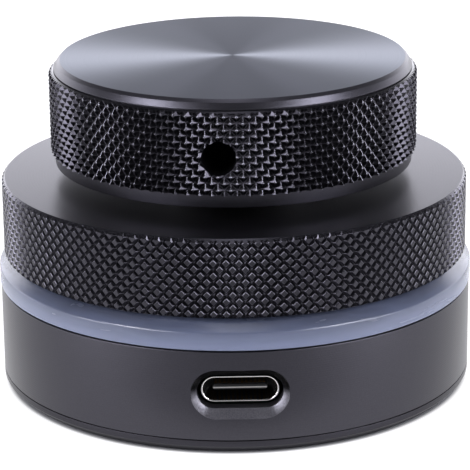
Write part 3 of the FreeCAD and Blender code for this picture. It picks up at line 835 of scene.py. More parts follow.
@dataclass(frozen=True)
class MilkyPolycarbonate(Finish):
    """Diffusing polycarbonate, moulded with polished faces.

    Light enters at the rim and spreads a little under the skin. The colour is painted lightest low down, as
    painted light from the table, and sinks to a dusky blue towards the housing, as painted shade under its
    overhang; its gloss wanders in long flow streaks round the rim.
    """

    # Painted light low down and painted shade near the top, blended between the low and high levels.
    colour: str = "#697087"
    shade: str = "#343948"
    low: float = 12.5
    high: float = 16.1
    roughness: float = 0.16
    rougher: float = 0.12
    streak: float = 1.6
    stretch: float = 0.16
    streak_depth: float = 0.05
    streak_tone: float = 0.5
    streak_range: tuple[float, float] = (0.35, 0.65)
    cloud: float = 0.25
    scatter: tuple[float, float, float] = (0.9, 1.0, 1.2)
    ior: float = 1.58

    def dress(self, tree: Tree, shader: Node, place: Socket) -> None:
        """Adds the cloudy body under a glossy skin with flow streaks, and the painted light and shade by
        height.
        """
        level = add_node(tree, "ShaderNodeSeparateXYZ", {0: place})["Z"]
        drawn = add_node(
            tree, "ShaderNodeMapping", {"Vector": place, "Scale": (self.stretch, self.stretch, 1.0)}
        )[0]
        flow = add_node(tree, "ShaderNodeTexNoise", {
            "Scale": 1 / (self.streak * MM), "Detail": 3.0, "Distortion": 0.6, "Vector": drawn,
        })[0]
        # Painted shade: the colour darkens from the low level up to the high one.
        shade_rise = add_node(tree, "ShaderNodeMapRange", {
            "Value": level, "From Min": self.low * MM, "From Max": self.high * MM,
        }, interpolation_type="SMOOTHSTEP")[0]
        sway = add_node(tree, "ShaderNodeMath", {0: flow, 1: 0.5}, operation="SUBTRACT")[0]
        share = add_node(
            tree, "ShaderNodeMath", {0: sway, 1: self.streak_tone, 2: shade_rise}, operation="MULTIPLY_ADD"
        )[0]
        patterned(tree, shader, share, (self.colour, self.shade), self.streak_depth, height=flow)
        calm, busy = self.streak_range
        rough = add_node(tree, "ShaderNodeMapRange", {
            "Value": flow, "From Min": calm, "From Max": busy,
            "To Min": self.roughness, "To Max": self.roughness + self.rougher,
        })[0]
        feed(tree, shader, {
            "IOR": self.ior, "Roughness": rough, "Subsurface Weight": self.cloud,
            "Subsurface Radius": self.scatter, "Subsurface Scale": MM,
        })


@dataclass(frozen=True)
class Metal(Grained):
    """Plain or plated metal: rolled, turned or drawn, with a slight brush line."""

    stretch: float = 0.25


@dataclass(frozen=True)
class Moulding(Grained):
    """Moulded or pressed non-metal: plastic, rubber, epoxy or ceramic with its own fine grain."""

    roughness: float = 0.5
    grain_depth: float = 0.01
    detail: float = 4.0
    metallic: float = 0.0


@dataclass(frozen=True)
class BoardLaminate(Finish):
    """Glass and epoxy board under a lacquer mask.

    Copper tracks lift the mask a little and show through it as a lighter grid of lines.
    """

    mask: str = "#0A120E"
    track: str = "#18241C"
    track_pitch: float = 1.27
    track_height: float = 0.03
    track_share: float = 0.12
    roughness: float = 0.3
    ior: float = 1.52

    def dress(self, tree: Tree, shader: Node, place: Socket) -> None:
        """Adds tracks under the glossy mask."""
        feed(tree, shader, {"Roughness": self.roughness, "IOR": self.ior})
        tracks = add_node(tree, "ShaderNodeTexBrick", {
            "Vector": place, "Scale": 1 / (self.track_pitch * MM), "Mortar Size": self.track_share,
            "Mortar Smooth": 0.1, "Brick Width": 3.0, "Row Height": 1.0,
        })["Fac"]
        patterned(tree, shader, tracks, (self.mask, self.track), self.track_height)


# Sub-assemblies


def span(node: str) -> tuple[float, float, float]:
    """Reads a turned node's size from the frame.

    Args:
        node: The node's name.

    Returns:
        Outer radius, lowest level and highest level in millimetres.
    """
    low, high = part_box(node)
    return round(high.x / MM, 3), round(low.z / MM, 3), round(high.z / MM, 3)


def settle(piece: Piece, body: Body, slot: str, *nodes: str) -> Piece:
    """Hands a finished piece to the frame.

    Args:
        piece: The finished mesh object.
        body: The body that it rides on.
        slot: The record's material slot; not used.
        nodes: The nodes that it stands for.

    Returns:
        The same piece.
    """
    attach(piece, body.value)
    if nodes:
        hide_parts(*nodes)
    return piece


def faces_of(piece: Piece) -> tuple[np.ndarray, np.ndarray]:
    """Reads where a mesh's faces are.

    Args:
        piece: The mesh object.

    Returns:
        Face centres in millimetres and face normals.
    """
    count = len(piece.data.polygons)
    centres, normals = np.empty(count * 3), np.empty(count * 3)
    piece.data.polygons.foreach_get("center", centres)
    piece.data.polygons.foreach_get("normal", normals)
    return centres.reshape(-1, 3) / MM, normals.reshape(-1, 3)


def dress(piece: Piece, finishes: Sequence[Finish], choice: np.ndarray | None = None) -> None:
    """Gives a piece its finishes, then its sharp and smooth edges.

    Args:
        piece: The mesh object.
        finishes: Its finishes.
        choice: The finish's number for each face, where there is more than one.
    """
    piece.data.materials.clear()
    for finish in finishes:
        piece.data.materials.append(finish.make())
    numbers = np.zeros(len(piece.data.polygons)) if choice is None else choice
    piece.data.polygons.foreach_set("material_index", numbers.astype(np.int32))
    creased(piece)


@dataclass(frozen=True)
class Knurl:
    """Sizes of one knurled band and the form of its points.

    Tip, bevel, foot and ridge are shares of a point's half width: the flat top, its broken edge,
    the foot of the flanks above the groove's narrow floor, and the ridges between the flanks.
    Faces are worn where their tilt, as a share of the flanks' tilt, lies between the worn limits,
    and where they lie above the worn depth, a share of the knurl's own.
    """

    teeth: int
    row: float
    depth: float
    tip: float
    bevel: float
    bevel_drop: float
    foot: float
    ridge: float
    worn: tuple[float, float]
    floor_drop: float = 0.03
    ridge_crown: float = 0.4
    ridge_limit: float = 0.45
    merge_gap: float = 0.001
    worn_depth: float = 0.85
    reach: float = 1.1
    facing: float = 0.2

    def point(self, radius: float) -> Piece:
        """Makes one cut point of the knurl.

        Args:
            radius: The bar's radius over the points, in millimetres.

        Returns:
            Four flanks with narrow rounded ridges between them, a flat top with a broken edge, and
            half of each groove's floor.
        """
        half = math.pi * radius / self.teeth
        rise = self.row / 2
        corners = [Vector((half, 0, 0)), Vector((0, 0, rise)), Vector((-half, 0, 0)), Vector((0, 0, -rise))]
        rings = []
        levels = (
            (self.tip, 0.0), (self.tip + self.bevel, self.depth * self.bevel_drop),
            (self.foot, self.depth * (1 - self.floor_drop)),
        )
        for share, sunk in levels:
            spread = min(self.ridge / share, self.ridge_limit)
            ring = []
            for index, corner in enumerate(corners):
                before, after = (corner.lerp(corners[(index + side) % 4], spread) for side in (-1, 1))
                ring += [before, ((before + after) / 2).lerp(corner, self.ridge_crown), after]
            rings.append([(place * share + Vector((0, sunk, 0))) * MM for place in ring])
        points = sum(rings, []) + [(corner + Vector((0, self.depth, 0))) * MM for corner in corners]
        count, last, outer = len(rings[0]), len(sum(rings[:-1], [])), len(sum(rings, []))
        faces = [tuple(range(count))]
        for start in range(0, last, count):
            for index in range(count):
                beside = (index + 1) % count
                faces.append((start + index, start + index + count, start + beside + count, start + beside))
        for index in range(len(corners)):
            first, beside = last + index * 3, (index + 1) % len(corners)
            faces.append((first, outer + index, first + 1))
            faces.append((first + 1, outer + index, first + 2))
            faces.append((first + 2, outer + index, outer + beside, last + beside * 3))
        return mesh_object("knurl_point", points, faces)

    def blank(
        self, rule: KnurlRule, name: str, radius: float, low: float, high: float, top: float
    ) -> Piece:
        """Makes a knurled bar that runs past both ends of the band.

        The points sit as they do in the frame's own solids: half rows are counted up from a level
        that centres them on the band, and the first point is at angle zero.

        Args:
            rule: The knurl's Geometry Nodes tree.
            name: The bar's name.
            radius: Its radius over the points.
            low: The band's lowest level.
            high: The band's highest level.
            top: The piece's highest level.

        Returns:
            The bar, to be trimmed by the turned outline.
        """
        rise = self.row / 2
        half_rows = math.ceil((high - low) / rise)
        first = (low + high - rise * half_rows) / 2 - self.row
        point = self.point(radius)
        bar = rule.run(name, {
            "Point": point, "Teeth": self.teeth, "Levels": math.ceil((top - first) / rise) + 2,
            "Radius": radius * MM, "Rise": rise * MM, "Low": first * MM, "Merge gap": self.merge_gap * MM,
        })
        bpy.data.objects.remove(point)
        return bar

    def choose(
        self, centres: np.ndarray, normals: np.ndarray, radius: float, low: float, high: float
    ) -> np.ndarray:
        """Tells the band's flat faces from its narrow edges.

        Args:
            centres: Face centres in millimetres.
            normals: Face normals.
            radius: The band's radius over the points.
            low: Its lowest level.
            high: Its highest level.

        Returns:
            0 off the band, 1 on tops, flanks and groove floors, 2 on ridges and broken edges.
        """
        distance = np.hypot(centres[:, 0], centres[:, 1])
        outward = (centres[:, :2] * normals[:, :2]).sum(axis=1) / np.maximum(distance, self.merge_gap)
        width, rise = math.pi * radius / self.teeth, self.row / 2
        half = width * rise / math.hypot(width, rise)
        drop = self.depth * (1 - self.floor_drop - self.bevel_drop)
        flank = math.atan2(drop, half * (self.foot - self.tip - self.bevel))
        level = centres[:, 2]
        band = (distance > radius - self.depth * self.reach) & (outward > self.facing)
        band &= (level > low) & (level < high)
        tilt = np.arccos(np.clip(outward, -1, 1))
        edge = (tilt > flank * self.worn[0]) & (tilt < flank * self.worn[1])
        edge &= distance > radius - self.depth * self.worn_depth
        return np.where(band, np.where(edge, 2, 1), 0)


@dataclass
class Knob:
    """Turned knob: spun disc, stepped rim, fine groove, knurled wall, counterbore and bored hub."""

    knurl_rule: KnurlRule
    disc_inset: float = 1.4
    rim_chamfer: float = 0.35
    taper: float = 0.45
    taper_height: float = 0.7
    groove_width: float = 0.18
    groove_depth: float = 0.36
    land_height: float = 0.36
    low_band: float = 1.5
    low_band_taper: float = 0.12
    counterbore: float = 7.5
    hub_gap: float = 0.9
    bore: float = 3.04
    bore_head: float = 0.5
    edge: float = 0.05
    disc_edge: float = 0.08
    disc_level: float = 0.99
    band_sink: float = 1.02
    hole_room: float = 0.04
    hole_steps: int = 64
    overrun: float = 1.0
    knurl: Knurl = Knurl(
        teeth=96, row=1.55, depth=0.46, tip=0.1, bevel=0.18, bevel_drop=0.13, foot=0.95, ridge=0.06,
        worn=(0.25, 0.85),
    )

    def groove_low(self, top: float) -> float:
        """The level at the foot of the groove under the rim, where the knurled wall ends.

        Args:
            top: The knob's highest level.

        Returns:
            The level in millimetres.
        """
        return top - self.rim_chamfer - self.taper_height - self.groove_width

    def outline(self) -> list[Corner]:
        """The turned outline, from the frame's own levels.

        Returns:
            The outline's corners.
        """
        radius, low, top = span("knob_body")
        hub_low = span("encoder_bush")[2] + self.hub_gap
        bore_top = span("encoder_shaft")[2] + self.bore_head
        disc = radius - self.disc_inset
        rim = disc + self.rim_chamfer
        step = rim + self.taper
        rim_low = top - self.rim_chamfer
        taper_low = rim_low - self.taper_height
        groove_low = self.groove_low(top)
        band = radius - self.knurl.depth * self.band_sink
        return [
            Corner(0, bore_top),
            Corner(self.bore, bore_top),
            Corner(self.bore, hub_low),
            Corner(self.counterbore, hub_low),
            Corner(self.counterbore, low, self.edge),
            Corner(band - self.low_band_taper, low, self.edge),
            Corner(band, low + self.low_band),
            Corner(radius, low + self.low_band),
            Corner(radius, groove_low - self.land_height),
            Corner(step, groove_low),
            Corner(step - self.groove_depth, groove_low),
            Corner(step - self.groove_depth, taper_low),
            Corner(step, taper_low, self.edge / 2),
            Corner(rim, rim_low, self.edge / 2),
            Corner(disc, top, self.disc_edge),
            Corner(0, top),
        ]

    def build(self) -> list[Piece]:
        """Makes the knob and dresses it.

        Returns:
            The finished piece.
        """
        radius, low, top = span("knob_body")
        piece = self.knurl.blank(self.knurl_rule, "knurled_knob", radius, low, self.groove_low(top), top)
        combined(piece, Cut.KEEP, turned("knob_outline", self.outline()))
        combined(piece, Cut.REMOVE, self.side_hole(radius))
        centres, normals = faces_of(piece)
        choice = self.knurl.choose(centres, normals, radius, low + self.low_band, self.groove_low(top))
        finishes = [
            AnodisedAluminium("anodised_aluminium_knob"),
            KnurledAluminium("knurled_aluminium_knob", colour="#29282C", fleck="#313035"),
            KnurledAluminium(
                "knurled_aluminium_knob_edges", colour="#4E4D53", fleck="#6E6D74", roughness=0.24
            ),
            SpunAluminium("spun_aluminium_disc"),
        ]
        disc = (centres[:, 2] > top - self.rim_chamfer / 2) & (normals[:, 2] > self.disc_level)
        dress(piece, finishes, np.where(disc, len(finishes) - 1, choice))
        return [settle(piece, Body.KNOB, "knob_metal", "knob_body")]

    def side_hole(self, reach: float) -> Piece:
        """Cutter for the grub screw's hole, on the screw's own line.

        Args:
            reach: The knob's radius.

        Returns:
            The cutter.
        """
        low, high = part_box("grub_screw")
        centre = (low + high) / 2
        line = Vector((centre.x, centre.y, 0)).normalized()
        bore = (high.z - low.z) / 2 + self.hole_room * MM
        across = line.cross(Vector((0, 0, 1)))
        rings = []
        for distance in (0, (reach + self.overrun) * MM):
            middle = line * distance + Vector((0, 0, centre.z))
            rings.append([
                middle + across * (bore * math.cos(angle)) + Vector((0, 0, bore * math.sin(angle)))
                for angle in (math.tau * step / self.hole_steps for step in range(self.hole_steps))
            ])
        return lofted("side_hole", rings)


@dataclass
class UpperHousing:
    """Knurled housing: an inverted cup with posts for the screws, hung over the light ring."""

    knurl_rule: KnurlRule
    bar_rule: BarRule
    wall: float = 2.8
    roof: float = 2.5
    top_chamfer: float = 0.4
    low_chamfer: float = 0.25
    bush_hole: float = 3.55
    roof_post_foot: float = 16.4
    edge: float = 0.04
    knurl: Knurl = Knurl(
        teeth=122, row=1.5, depth=0.34, tip=0.46, bevel=0.13, bevel_drop=0.15, foot=0.96, ridge=0.05,
        worn=(0.3, 0.8),
    )

    def build(self) -> list[Piece]:
        """Makes the housing and dresses it.

        Returns:
            The finished piece.
        """
        radius, low, top = span("upper_housing")
        ceiling = top - self.roof
        outline = turned("upper_outline", [
            Corner(radius - self.wall, low),
            Corner(radius - self.low_chamfer, low, self.edge),
            Corner(radius, low + self.low_chamfer),
            Corner(radius, top - self.top_chamfer),
            Corner(radius - self.top_chamfer, top, self.edge),
            Corner(self.bush_hole, top),
            Corner(self.bush_hole, ceiling),
            Corner(radius - self.wall, ceiling),
        ])
        piece = self.knurl.blank(self.knurl_rule, "knurled_housing", radius, low, top, top)
        combined(piece, Cut.KEEP, outline)
        rule, foot = self.bar_rule, self.roof_post_foot
        combined(
            piece, Cut.JOIN,
            HOUSING_SCREWS.bars(rule, "wall_posts", low, ceiling + self.edge, POST_RADIUS),
            LIGHT_BOARD_SCREWS.bars(rule, "roof_posts", foot, ceiling + self.edge, POST_RADIUS),
        )
        wall_holes = span("housing_screws")[2] + HOLE_DEPTH
        roof_holes = span("light_board_screws")[2] + HOLE_DEPTH
        combined(
            piece, Cut.REMOVE,
            HOUSING_SCREWS.bars(rule, "wall_holes", low - self.edge, wall_holes, SCREW_HOLE),
            LIGHT_BOARD_SCREWS.bars(rule, "roof_holes", foot - self.edge, roof_holes, SCREW_HOLE),
        )
        centres, normals = faces_of(piece)
        choice = self.knurl.choose(centres, normals, radius, low, top)
        dress(piece, [
            AnodisedAluminium("anodised_aluminium_housing"),
            KnurledAluminium("knurled_aluminium_housing"),
            KnurledAluminium("knurled_aluminium_housing_edges", fleck="#504F55", roughness=0.28),
        ], choice)
        return [settle(piece, Body.BASE, "ring_metal", "upper_housing")]


@dataclass
class LightRing:
    """Translucent ring: rounded rim outside and a slope that runs in under the housing."""

    bar_rule: BarRule
    rim: float = 2.1
    rim_rounding: float = 0.35
    low_rounding: float = 0.2
    shelf_inset: float = 1.6
    bore: float = 21.8

    def build(self) -> list[Piece]:
        """Makes the ring and dresses it.

        Returns:
            The finished piece.
        """
        radius, low, top = span("light_ring")
        piece = turned("milky_light_ring", [
            Corner(self.bore, low),
            Corner(radius, low, self.low_rounding),
            Corner(radius, low + self.rim, self.rim_rounding),
            Corner(radius - self.shelf_inset, top),
            Corner(self.bore, top),
        ])
        combined(piece, Cut.REMOVE, HOUSING_SCREWS.bars(
            self.bar_rule, "ring_holes", low - HOLE_DEPTH, top + HOLE_DEPTH, SCREW_PASS,
        ))
        dress(piece, [MilkyPolycarbonate("milky_polycarbonate")])
        return [settle(piece, Body.BASE, "milky_plastic", "light_ring")]


@dataclass
class BaseHousing:
    """Turned base shell with its inward flange, the screw posts and the port's pocket."""

    bar_rule: BarRule
    wall: float = 2.5
    flange: float = 1.6
    flange_bore: float = 21.5
    edge: float = 0.09
    gap: float = 0.16
    gap_depth: float = 0.45
    post_gap: float = 0.9
    clearance: float = 0.44
    side_flare: float = 0.67
    rise_flare: float = 0.86
    flare_depth: float = 1.2
    mouth_edge: float = 0.06
    mouth_bulge: float = 0.3
    mouth_gap: float = 0.0025
    recess_foot: float = 1.0
    overrun: float = 1.0
    outline_steps: int = 32

    def build(self) -> list[Piece]:
        """Makes the shell and dresses it.

        Returns:
            The finished piece.
        """
        radius, seam, top = span("base_housing")
        bore = radius - self.wall
        piece = turned("anodised_base", [
            Corner(bore, seam),
            Corner(radius, seam, self.edge),
            Corner(radius, top - self.gap, self.edge),
            Corner(radius - self.gap_depth, top - self.gap),
            Corner(radius - self.gap_depth, top),
            Corner(self.flange_bore, top),
            Corner(self.flange_bore, top - self.flange),
            Corner(bore, top - self.flange),
        ])
        rule, foot, under = self.bar_rule, seam + self.post_gap, top - self.flange
        posts = COVER_SCREWS.bars(rule, "cover_posts", foot, under + self.edge, POST_RADIUS)
        combined(piece, Cut.JOIN, posts)
        holes = span("cover_screws")[2] + HOLE_DEPTH
        combined(
            piece, Cut.REMOVE, self.port_pocket(radius),
            COVER_SCREWS.bars(rule, "cover_holes", foot - self.edge, holes, SCREW_HOLE),
            HOUSING_SCREWS.bars(rule, "flange_holes", under - self.edge, top + self.edge, SCREW_PASS),
        )
        centres, _ = faces_of(piece)
        distance = np.hypot(centres[:, 0], centres[:, 1])
        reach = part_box("usb_shell")[1].x / MM + self.clearance + self.side_flare
        recess = (distance < radius - self.mouth_gap) & (distance > bore) & (centres[:, 1] < 0)
        recess &= abs(centres[:, 0]) < reach
        recess &= (centres[:, 2] > seam + self.recess_foot) & (centres[:, 2] < under)
        dress(piece, [
            AnodisedAluminium("anodised_aluminium_base"),
            BlastedRecess("blasted_aluminium_recess"),
        ], recess)
        return [settle(piece, Body.BASE, "base_metal", "base_housing")]

    def port_pocket(self, radius: float) -> Piece:
        """Cutter for the port: a slot with a wide flare and a broken edge that follows the wall.

        Args:
            radius: The wall's outer radius.

        Returns:
            The cutter.
        """
        low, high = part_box("usb_shell")
        width = (high.x - low.x) / MM + 2 * self.clearance
        centre = high.z / MM - USB_HEIGHT / 2
        height = USB_HEIGHT + 2 * self.clearance
        edge, bulge = self.mouth_edge, self.mouth_edge * self.mouth_bulge
        slot = obround(width, height, self.outline_steps)
        rings = [
            [Vector((x, deep - radius, z + centre)) * MM for x, z in slot]
            for deep in (self.wall + self.overrun, self.flare_depth)
        ]
        for grown, depth in ((0.0, edge), (bulge, bulge), (edge, 0.0), (edge, -self.flare_depth)):
            across, up = 2 * (self.side_flare + grown), 2 * (self.rise_flare + grown)
            outline = obround(width + across, height + up, self.outline_steps)
            rings.append([
                Vector((x, -math.sqrt((radius - depth) ** 2 - x ** 2), z + centre)) * MM for x, z in outline
            ])
        return lofted("port_pocket", rings)


@dataclass
class BottomCover:
    """Closing plate with a chamfered rim, a spigot in the base and the main board's posts."""

    bar_rule: BarRule
    rim: float = 1.55
    plate: float = 1.6
    chamfer: float = 0.8
    pad_radius: float = 25.5
    pad_top: float = 1.0
    spigot: float = 25.9
    edge: float = 0.06
    gap: float = 0.07
    gap_depth: float = 0.25
    sink: float = 1.1
    sink_flare: float = 0.9
    hole_foot: float = 1.54

    def build(self) -> list[Piece]:
        """Makes the plate and dresses it.

        Returns:
            The finished piece.
        """
        radius, low, _ = span("bottom_cover")
        seam = low + self.rim
        top = self.pad_top + self.plate
        piece = turned("anodised_cover", [
            Corner(0, self.pad_top),
            Corner(self.pad_radius, self.pad_top),
            Corner(self.pad_radius, low, self.edge),
            Corner(radius - self.chamfer, low, self.edge),
            Corner(radius, low + self.chamfer, self.edge),
            Corner(radius, seam - self.gap, self.edge / 2),
            Corner(radius - self.gap_depth, seam - self.gap),
            Corner(radius - self.gap_depth, seam),
            Corner(self.spigot, seam),
            Corner(self.spigot, top),
            Corner(0, top),
        ])
        rule, sunk, board = self.bar_rule, self.pad_top + self.sink, span("main_board")[1]
        posts = BOARD_SCREWS.bars(rule, "board_posts", top - self.edge, board, POST_RADIUS)
        combined(piece, Cut.JOIN, posts)
        combined(
            piece, Cut.REMOVE,
            COVER_SCREWS.bars(rule, "sinks", self.pad_top, sunk, SCREW_HOLE, self.sink_flare),
            COVER_SCREWS.bars(rule, "cover_passes", self.pad_top, top + self.edge, SCREW_HOLE),
            BOARD_SCREWS.bars(rule, "board_holes", self.hole_foot, board + self.edge, SCREW_HOLE),
        )
        dress(piece, [
            AnodisedAluminium("anodised_aluminium_cover", colour="#323136", fleck="#3E3D42"),
        ])
        return [settle(piece, Body.BASE, "base_metal", "bottom_cover")]


@dataclass
class AntiSlipPad:
    """Round rubber foot with a soft edge."""

    edge: float = 0.12

    def build(self) -> list[Piece]:
        """Makes the pad and dresses it.

        Returns:
            The finished piece.
        """
        radius, low, top = span("anti_slip_pad")
        piece = turned("rubber_foot", [
            Corner(0, low), Corner(radius, low, self.edge), Corner(radius, top), Corner(0, top),
        ])
        dress(piece, [Moulding(
            "silicone_rubber", colour="#1B1B1C", fleck="#2A2A2B", roughness=0.75, grain=0.5, grain_depth=0.03,
        )])
        return [settle(piece, Body.BASE, "pad_rubber", "anti_slip_pad")]


@dataclass
class UsbPort:
    """Receptacle: a drawn steel shell with a rolled rim, four legs and a tongue inside."""

    wall: float = 0.3
    lip: float = 0.24
    lip_depth: float = 0.5
    leg_width: float = 0.8
    leg_depth: float = 1.2
    leg_height: float = 2.05
    leg_inset: float = 1.58
    leg_shares: tuple[float, float] = (0.45, 0.8)
    foot_height: float = 0.25
    foot_chamfer: float = 0.3
    foot_slant: float = 0.4
    nose_share: float = 0.85
    plate_width: float = 6.1
    plate_thickness: float = 0.14
    plate_proud: float = 0.05
    plate_share: float = 0.9
    core_length: float = 1.6
    core_fit: float = 0.03
    tongue_width: float = 6.3
    tongue_thickness: float = 0.7
    outline_steps: int = 24
    lip_steps: int = 8
    nose_steps: int = 7

    def ring(self, width: float, height: float, deep: float) -> list[Vector]:
        """A slot outline about the port's centre.

        Args:
            width: Its width in millimetres.
            height: Its height in millimetres.
            deep: Its place along the port, in metres.

        Returns:
            The outline's points in metres.
        """
        _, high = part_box("usb_shell")
        centre = high.z - USB_HEIGHT / 2 * MM
        return [
            Vector((x * MM, deep, centre + z * MM)) for x, z in obround(width, height, self.outline_steps)
        ]

    def shell(self) -> Piece:
        """Makes the steel shell.

        Returns:
            The finished piece.
        """
        low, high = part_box("usb_shell")
        width = (high.x - low.x) / MM
        half = self.lip / 2
        stations = [(0.0, high.y)]
        for step in range(self.lip_steps + 1):
            angle = math.pi * step / self.lip_steps
            stations.append((half * (1 - math.cos(angle)), low.y + half * (1 - math.sin(angle)) * MM))
        stations += [
            (self.lip, low.y + self.lip_depth * MM), (self.wall, low.y + (self.lip_depth + self.wall) * MM),
            (self.wall, high.y),
        ]
        rings = [self.ring(width - 2 * inset, USB_HEIGHT - 2 * inset, deep) for inset, deep in stations]
        piece = lofted("usb_port_shell", rings, closed=True)
        legs = []
        for side in (-1, 1):
            for share in self.leg_shares:
                along = low.y + (high.y - low.y) * share
                legs.append(self.leg(side * (width / 2 - self.leg_inset), along, low.z))
        combined(piece, Cut.JOIN, *legs)
        dress(piece, [
            Metal("nickel_plated_steel_port", colour="#F2F0EC", fleck="#D8D6D2", roughness=0.16),
        ])
        return settle(piece, Body.BASE, "port_steel", "usb_shell")

    def leg(self, across: float, along: float, foot: float) -> Piece:
        """One soldered leg.

        Args:
            across: Its middle across the port, in millimetres.
            along: Its middle along the port, in metres.
            foot: Its lowest level, in metres.

        Returns:
            A flat bar with a chamfered foot that runs up into the shell.
        """
        rings = []
        for level, drawn in ((0.0, self.foot_chamfer), (self.foot_height, 0.0), (self.leg_height, 0.0)):
            half_width = (self.leg_width / 2 - drawn * self.foot_slant) * MM
            half_depth = (self.leg_depth / 2 - drawn) * MM
            rings.append([
                Vector((across * MM + x * half_width, along + y * half_depth, foot + level * MM))
                for x, y in ((-1, -1), (1, -1), (1, 1), (-1, 1))
            ])
        return lofted("shell_leg", rings)

    def tongue(self) -> Piece:
        """Makes the insulator and its tongue, with the steel plate that shows along its edge.

        Returns:
            The finished piece.
        """
        low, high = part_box("usb_tongue")
        shell_low, shell_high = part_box("usb_shell")
        gap = 2 * (self.wall + self.core_fit)
        width = (shell_high.x - shell_low.x) / MM - gap
        core = lofted("usb_port_tongue", [
            self.ring(width, USB_HEIGHT - gap, high.y),
            self.ring(width, USB_HEIGHT - gap, high.y - self.core_length * MM),
        ])
        nose = self.tongue_thickness / 2
        rings = [self.ring(self.tongue_width, self.tongue_thickness, high.y - self.core_length / 2 * MM)]
        for step in range(self.nose_steps):
            angle = math.pi / 2 * step / self.nose_steps
            inset = nose * self.nose_share * (1 - math.cos(angle))
            deep = low.y + (self.plate_proud + nose * self.nose_share * (1 - math.sin(angle))) * MM
            rings.append(self.ring(self.tongue_width - 2 * inset, self.tongue_thickness - 2 * inset, deep))
        plate = lofted("mid_plate", [
            self.ring(self.plate_width, self.plate_thickness, high.y - self.core_length / 2 * MM),
            self.ring(self.plate_width, self.plate_thickness, low.y),
        ])
        piece = combined(core, Cut.JOIN, lofted("tongue", rings), plate)
        centres, _ = faces_of(piece)
        steel = centres[:, 1] < low.y / MM + self.plate_proud * self.plate_share
        dress(piece, [
            Moulding("glass_filled_nylon_tongue", colour="#08080A", fleck="#0E0E10", roughness=0.4),
            Metal("stamped_steel_mid_plate", colour="#C8C6C2", fleck="#8E8C88", grain=0.12),
        ], steel)
        return settle(piece, Body.BASE, "black_plastic", "usb_tongue")

    def build(self) -> list[Piece]:
        """Makes the shell and the tongue.

        Returns:
            Both pieces.
        """
        return [self.shell(), self.tongue()]


@dataclass
class SwitchDome:
    """Thin snap dome under the plunger, flattened as the knob is pressed."""

    radius: float = 2.6
    thickness: float = 0.12
    pressed_rise: float = 0.2
    steps: int = 96
    arcs: int = 10

    def arc(self, curve: float, centre: float, low: float) -> list[Corner]:
        """Draws one face of the dome.

        Args:
            curve: The face's radius of curvature.
            centre: The level of its centre.
            low: The level of its foot.

        Returns:
            Points from the axis down to the foot.
        """
        reach = math.acos((low - centre) / curve)
        angles = [reach * step / self.arcs for step in range(self.arcs + 1)]
        return [Corner(curve * math.sin(angle), centre + curve * math.cos(angle)) for angle in angles]

    def build(self) -> list[Piece]:
        """Makes the dome and dresses it.

        Returns:
            The finished piece.
        """
        _, low, top = span("switch_dome")
        rise = top - low
        curve = (self.radius ** 2 + rise ** 2) / (2 * rise)
        outer = self.arc(curve, top - curve, low)
        inner = self.arc(curve - self.thickness, top - curve, low)
        piece = turned("snap_dome", inner + outer[::-1], self.steps)
        dress(piece, [Metal("spring_steel_dome", colour="#C8C8C8", fleck="#A8A8A8", roughness=0.18)])
        settle(piece, Body.BASE, "bright_steel", "switch_dome")
        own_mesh(piece)
        return [piece]


@dataclass
class SwitchPlunger:
    """Flanged pin between the shaft's end and the dome, with a hair of room at both ends."""

    tip: float = 1.4
    flange: float = 0.5
    room: float = 0.02
    edge: float = 0.06
    steps: int = 96

    def build(self) -> list[Piece]:
        """Makes the plunger and dresses it.

        Returns:
            The finished piece.
        """
        radius, low, top = span("switch_plunger")
        piece = turned("flanged_plunger", [
            Corner(0, low + self.room),
            Corner(radius, low + self.room, self.edge),
            Corner(radius, low + self.flange),
            Corner(self.tip, low + self.flange),
            Corner(self.tip, top - self.room, self.edge),
            Corner(0, top - self.room),
        ], self.steps)
        dress(piece, [
            Moulding("white_acetal_plunger", colour="#D6D4CC", fleck="#C8C6BC", roughness=0.38),
        ])
        return [settle(piece, Body.PLUNGER, "encoder_plastic", "switch_plunger")]


@dataclass
class Innards:
    """The inner nodes, which keep the frame's own meshes and get finishes."""

    finishes: dict[Finish, tuple[str, ...]] = field(default_factory=lambda: {
        Metal("black_oxide_steel_screws", colour="#2A2A2C", fleck="#1F1F21", roughness=0.35):
            ("cover_screws", "housing_screws", "grub_screw"),
        Metal("nickel_plated_steel", colour="#B4B2AE", fleck="#94928E", roughness=0.28):
            ("main_board_screws", "light_board_screws", "encoder_frame", "encoder_bush",
             "encoder_washer", "encoder_nut", "detent_spring"),
        Metal("turned_aluminium_shaft", colour="#C4C4C6", fleck="#A6A6A8", roughness=0.32):
            ("encoder_shaft",),
        # The contacts' gold is painted dark brown, as painted shade deep inside the port.
        Metal("gold_plate_contacts", colour="#6E5427", fleck="#4A3818", roughness=0.4): ("usb_contacts",),
        Metal("tinned_brass_pins", colour="#B8B29C", fleck="#96907C", roughness=0.3): ("encoder_pins",),
        BoardLaminate("glass_epoxy_laminate"): ("main_board", "light_board"),
        Moulding("moulded_epoxy_chips", colour="#1D1D1F", fleck="#29292B", roughness=0.55, grain=0.08):
            ("controller_chip", "regulator_chip"),
        Moulding("fired_ceramic_passives", colour="#8A7660", fleck="#6E5D4B", roughness=0.45, grain=0.2):
            ("board_passives",),
        Moulding("white_emitter_plastic", colour="#E6E2D2", fleck="#D8D2BC", roughness=0.35, grain=0.2):
            ("light_emitters",),
        Moulding("black_nylon_connectors", colour="#161617", fleck="#202022", roughness=0.48):
            ("board_socket", "board_header"),
        Moulding("green_nylon_encoder", colour="#20402C", fleck="#284A34", roughness=0.45):
            ("encoder_case", "encoder_rotor"),
    })

    def build(self) -> list[Piece]:
        """Dresses the inner nodes.

        Returns:
            The dressed nodes.
        """
        dressed = []
        for finish, names in self.finishes.items():
            material = finish.make()
            for name in names:
                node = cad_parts[name]
                for place in node.material_slots:
                    place.material = material
                dressed.append(node)
        return dressed


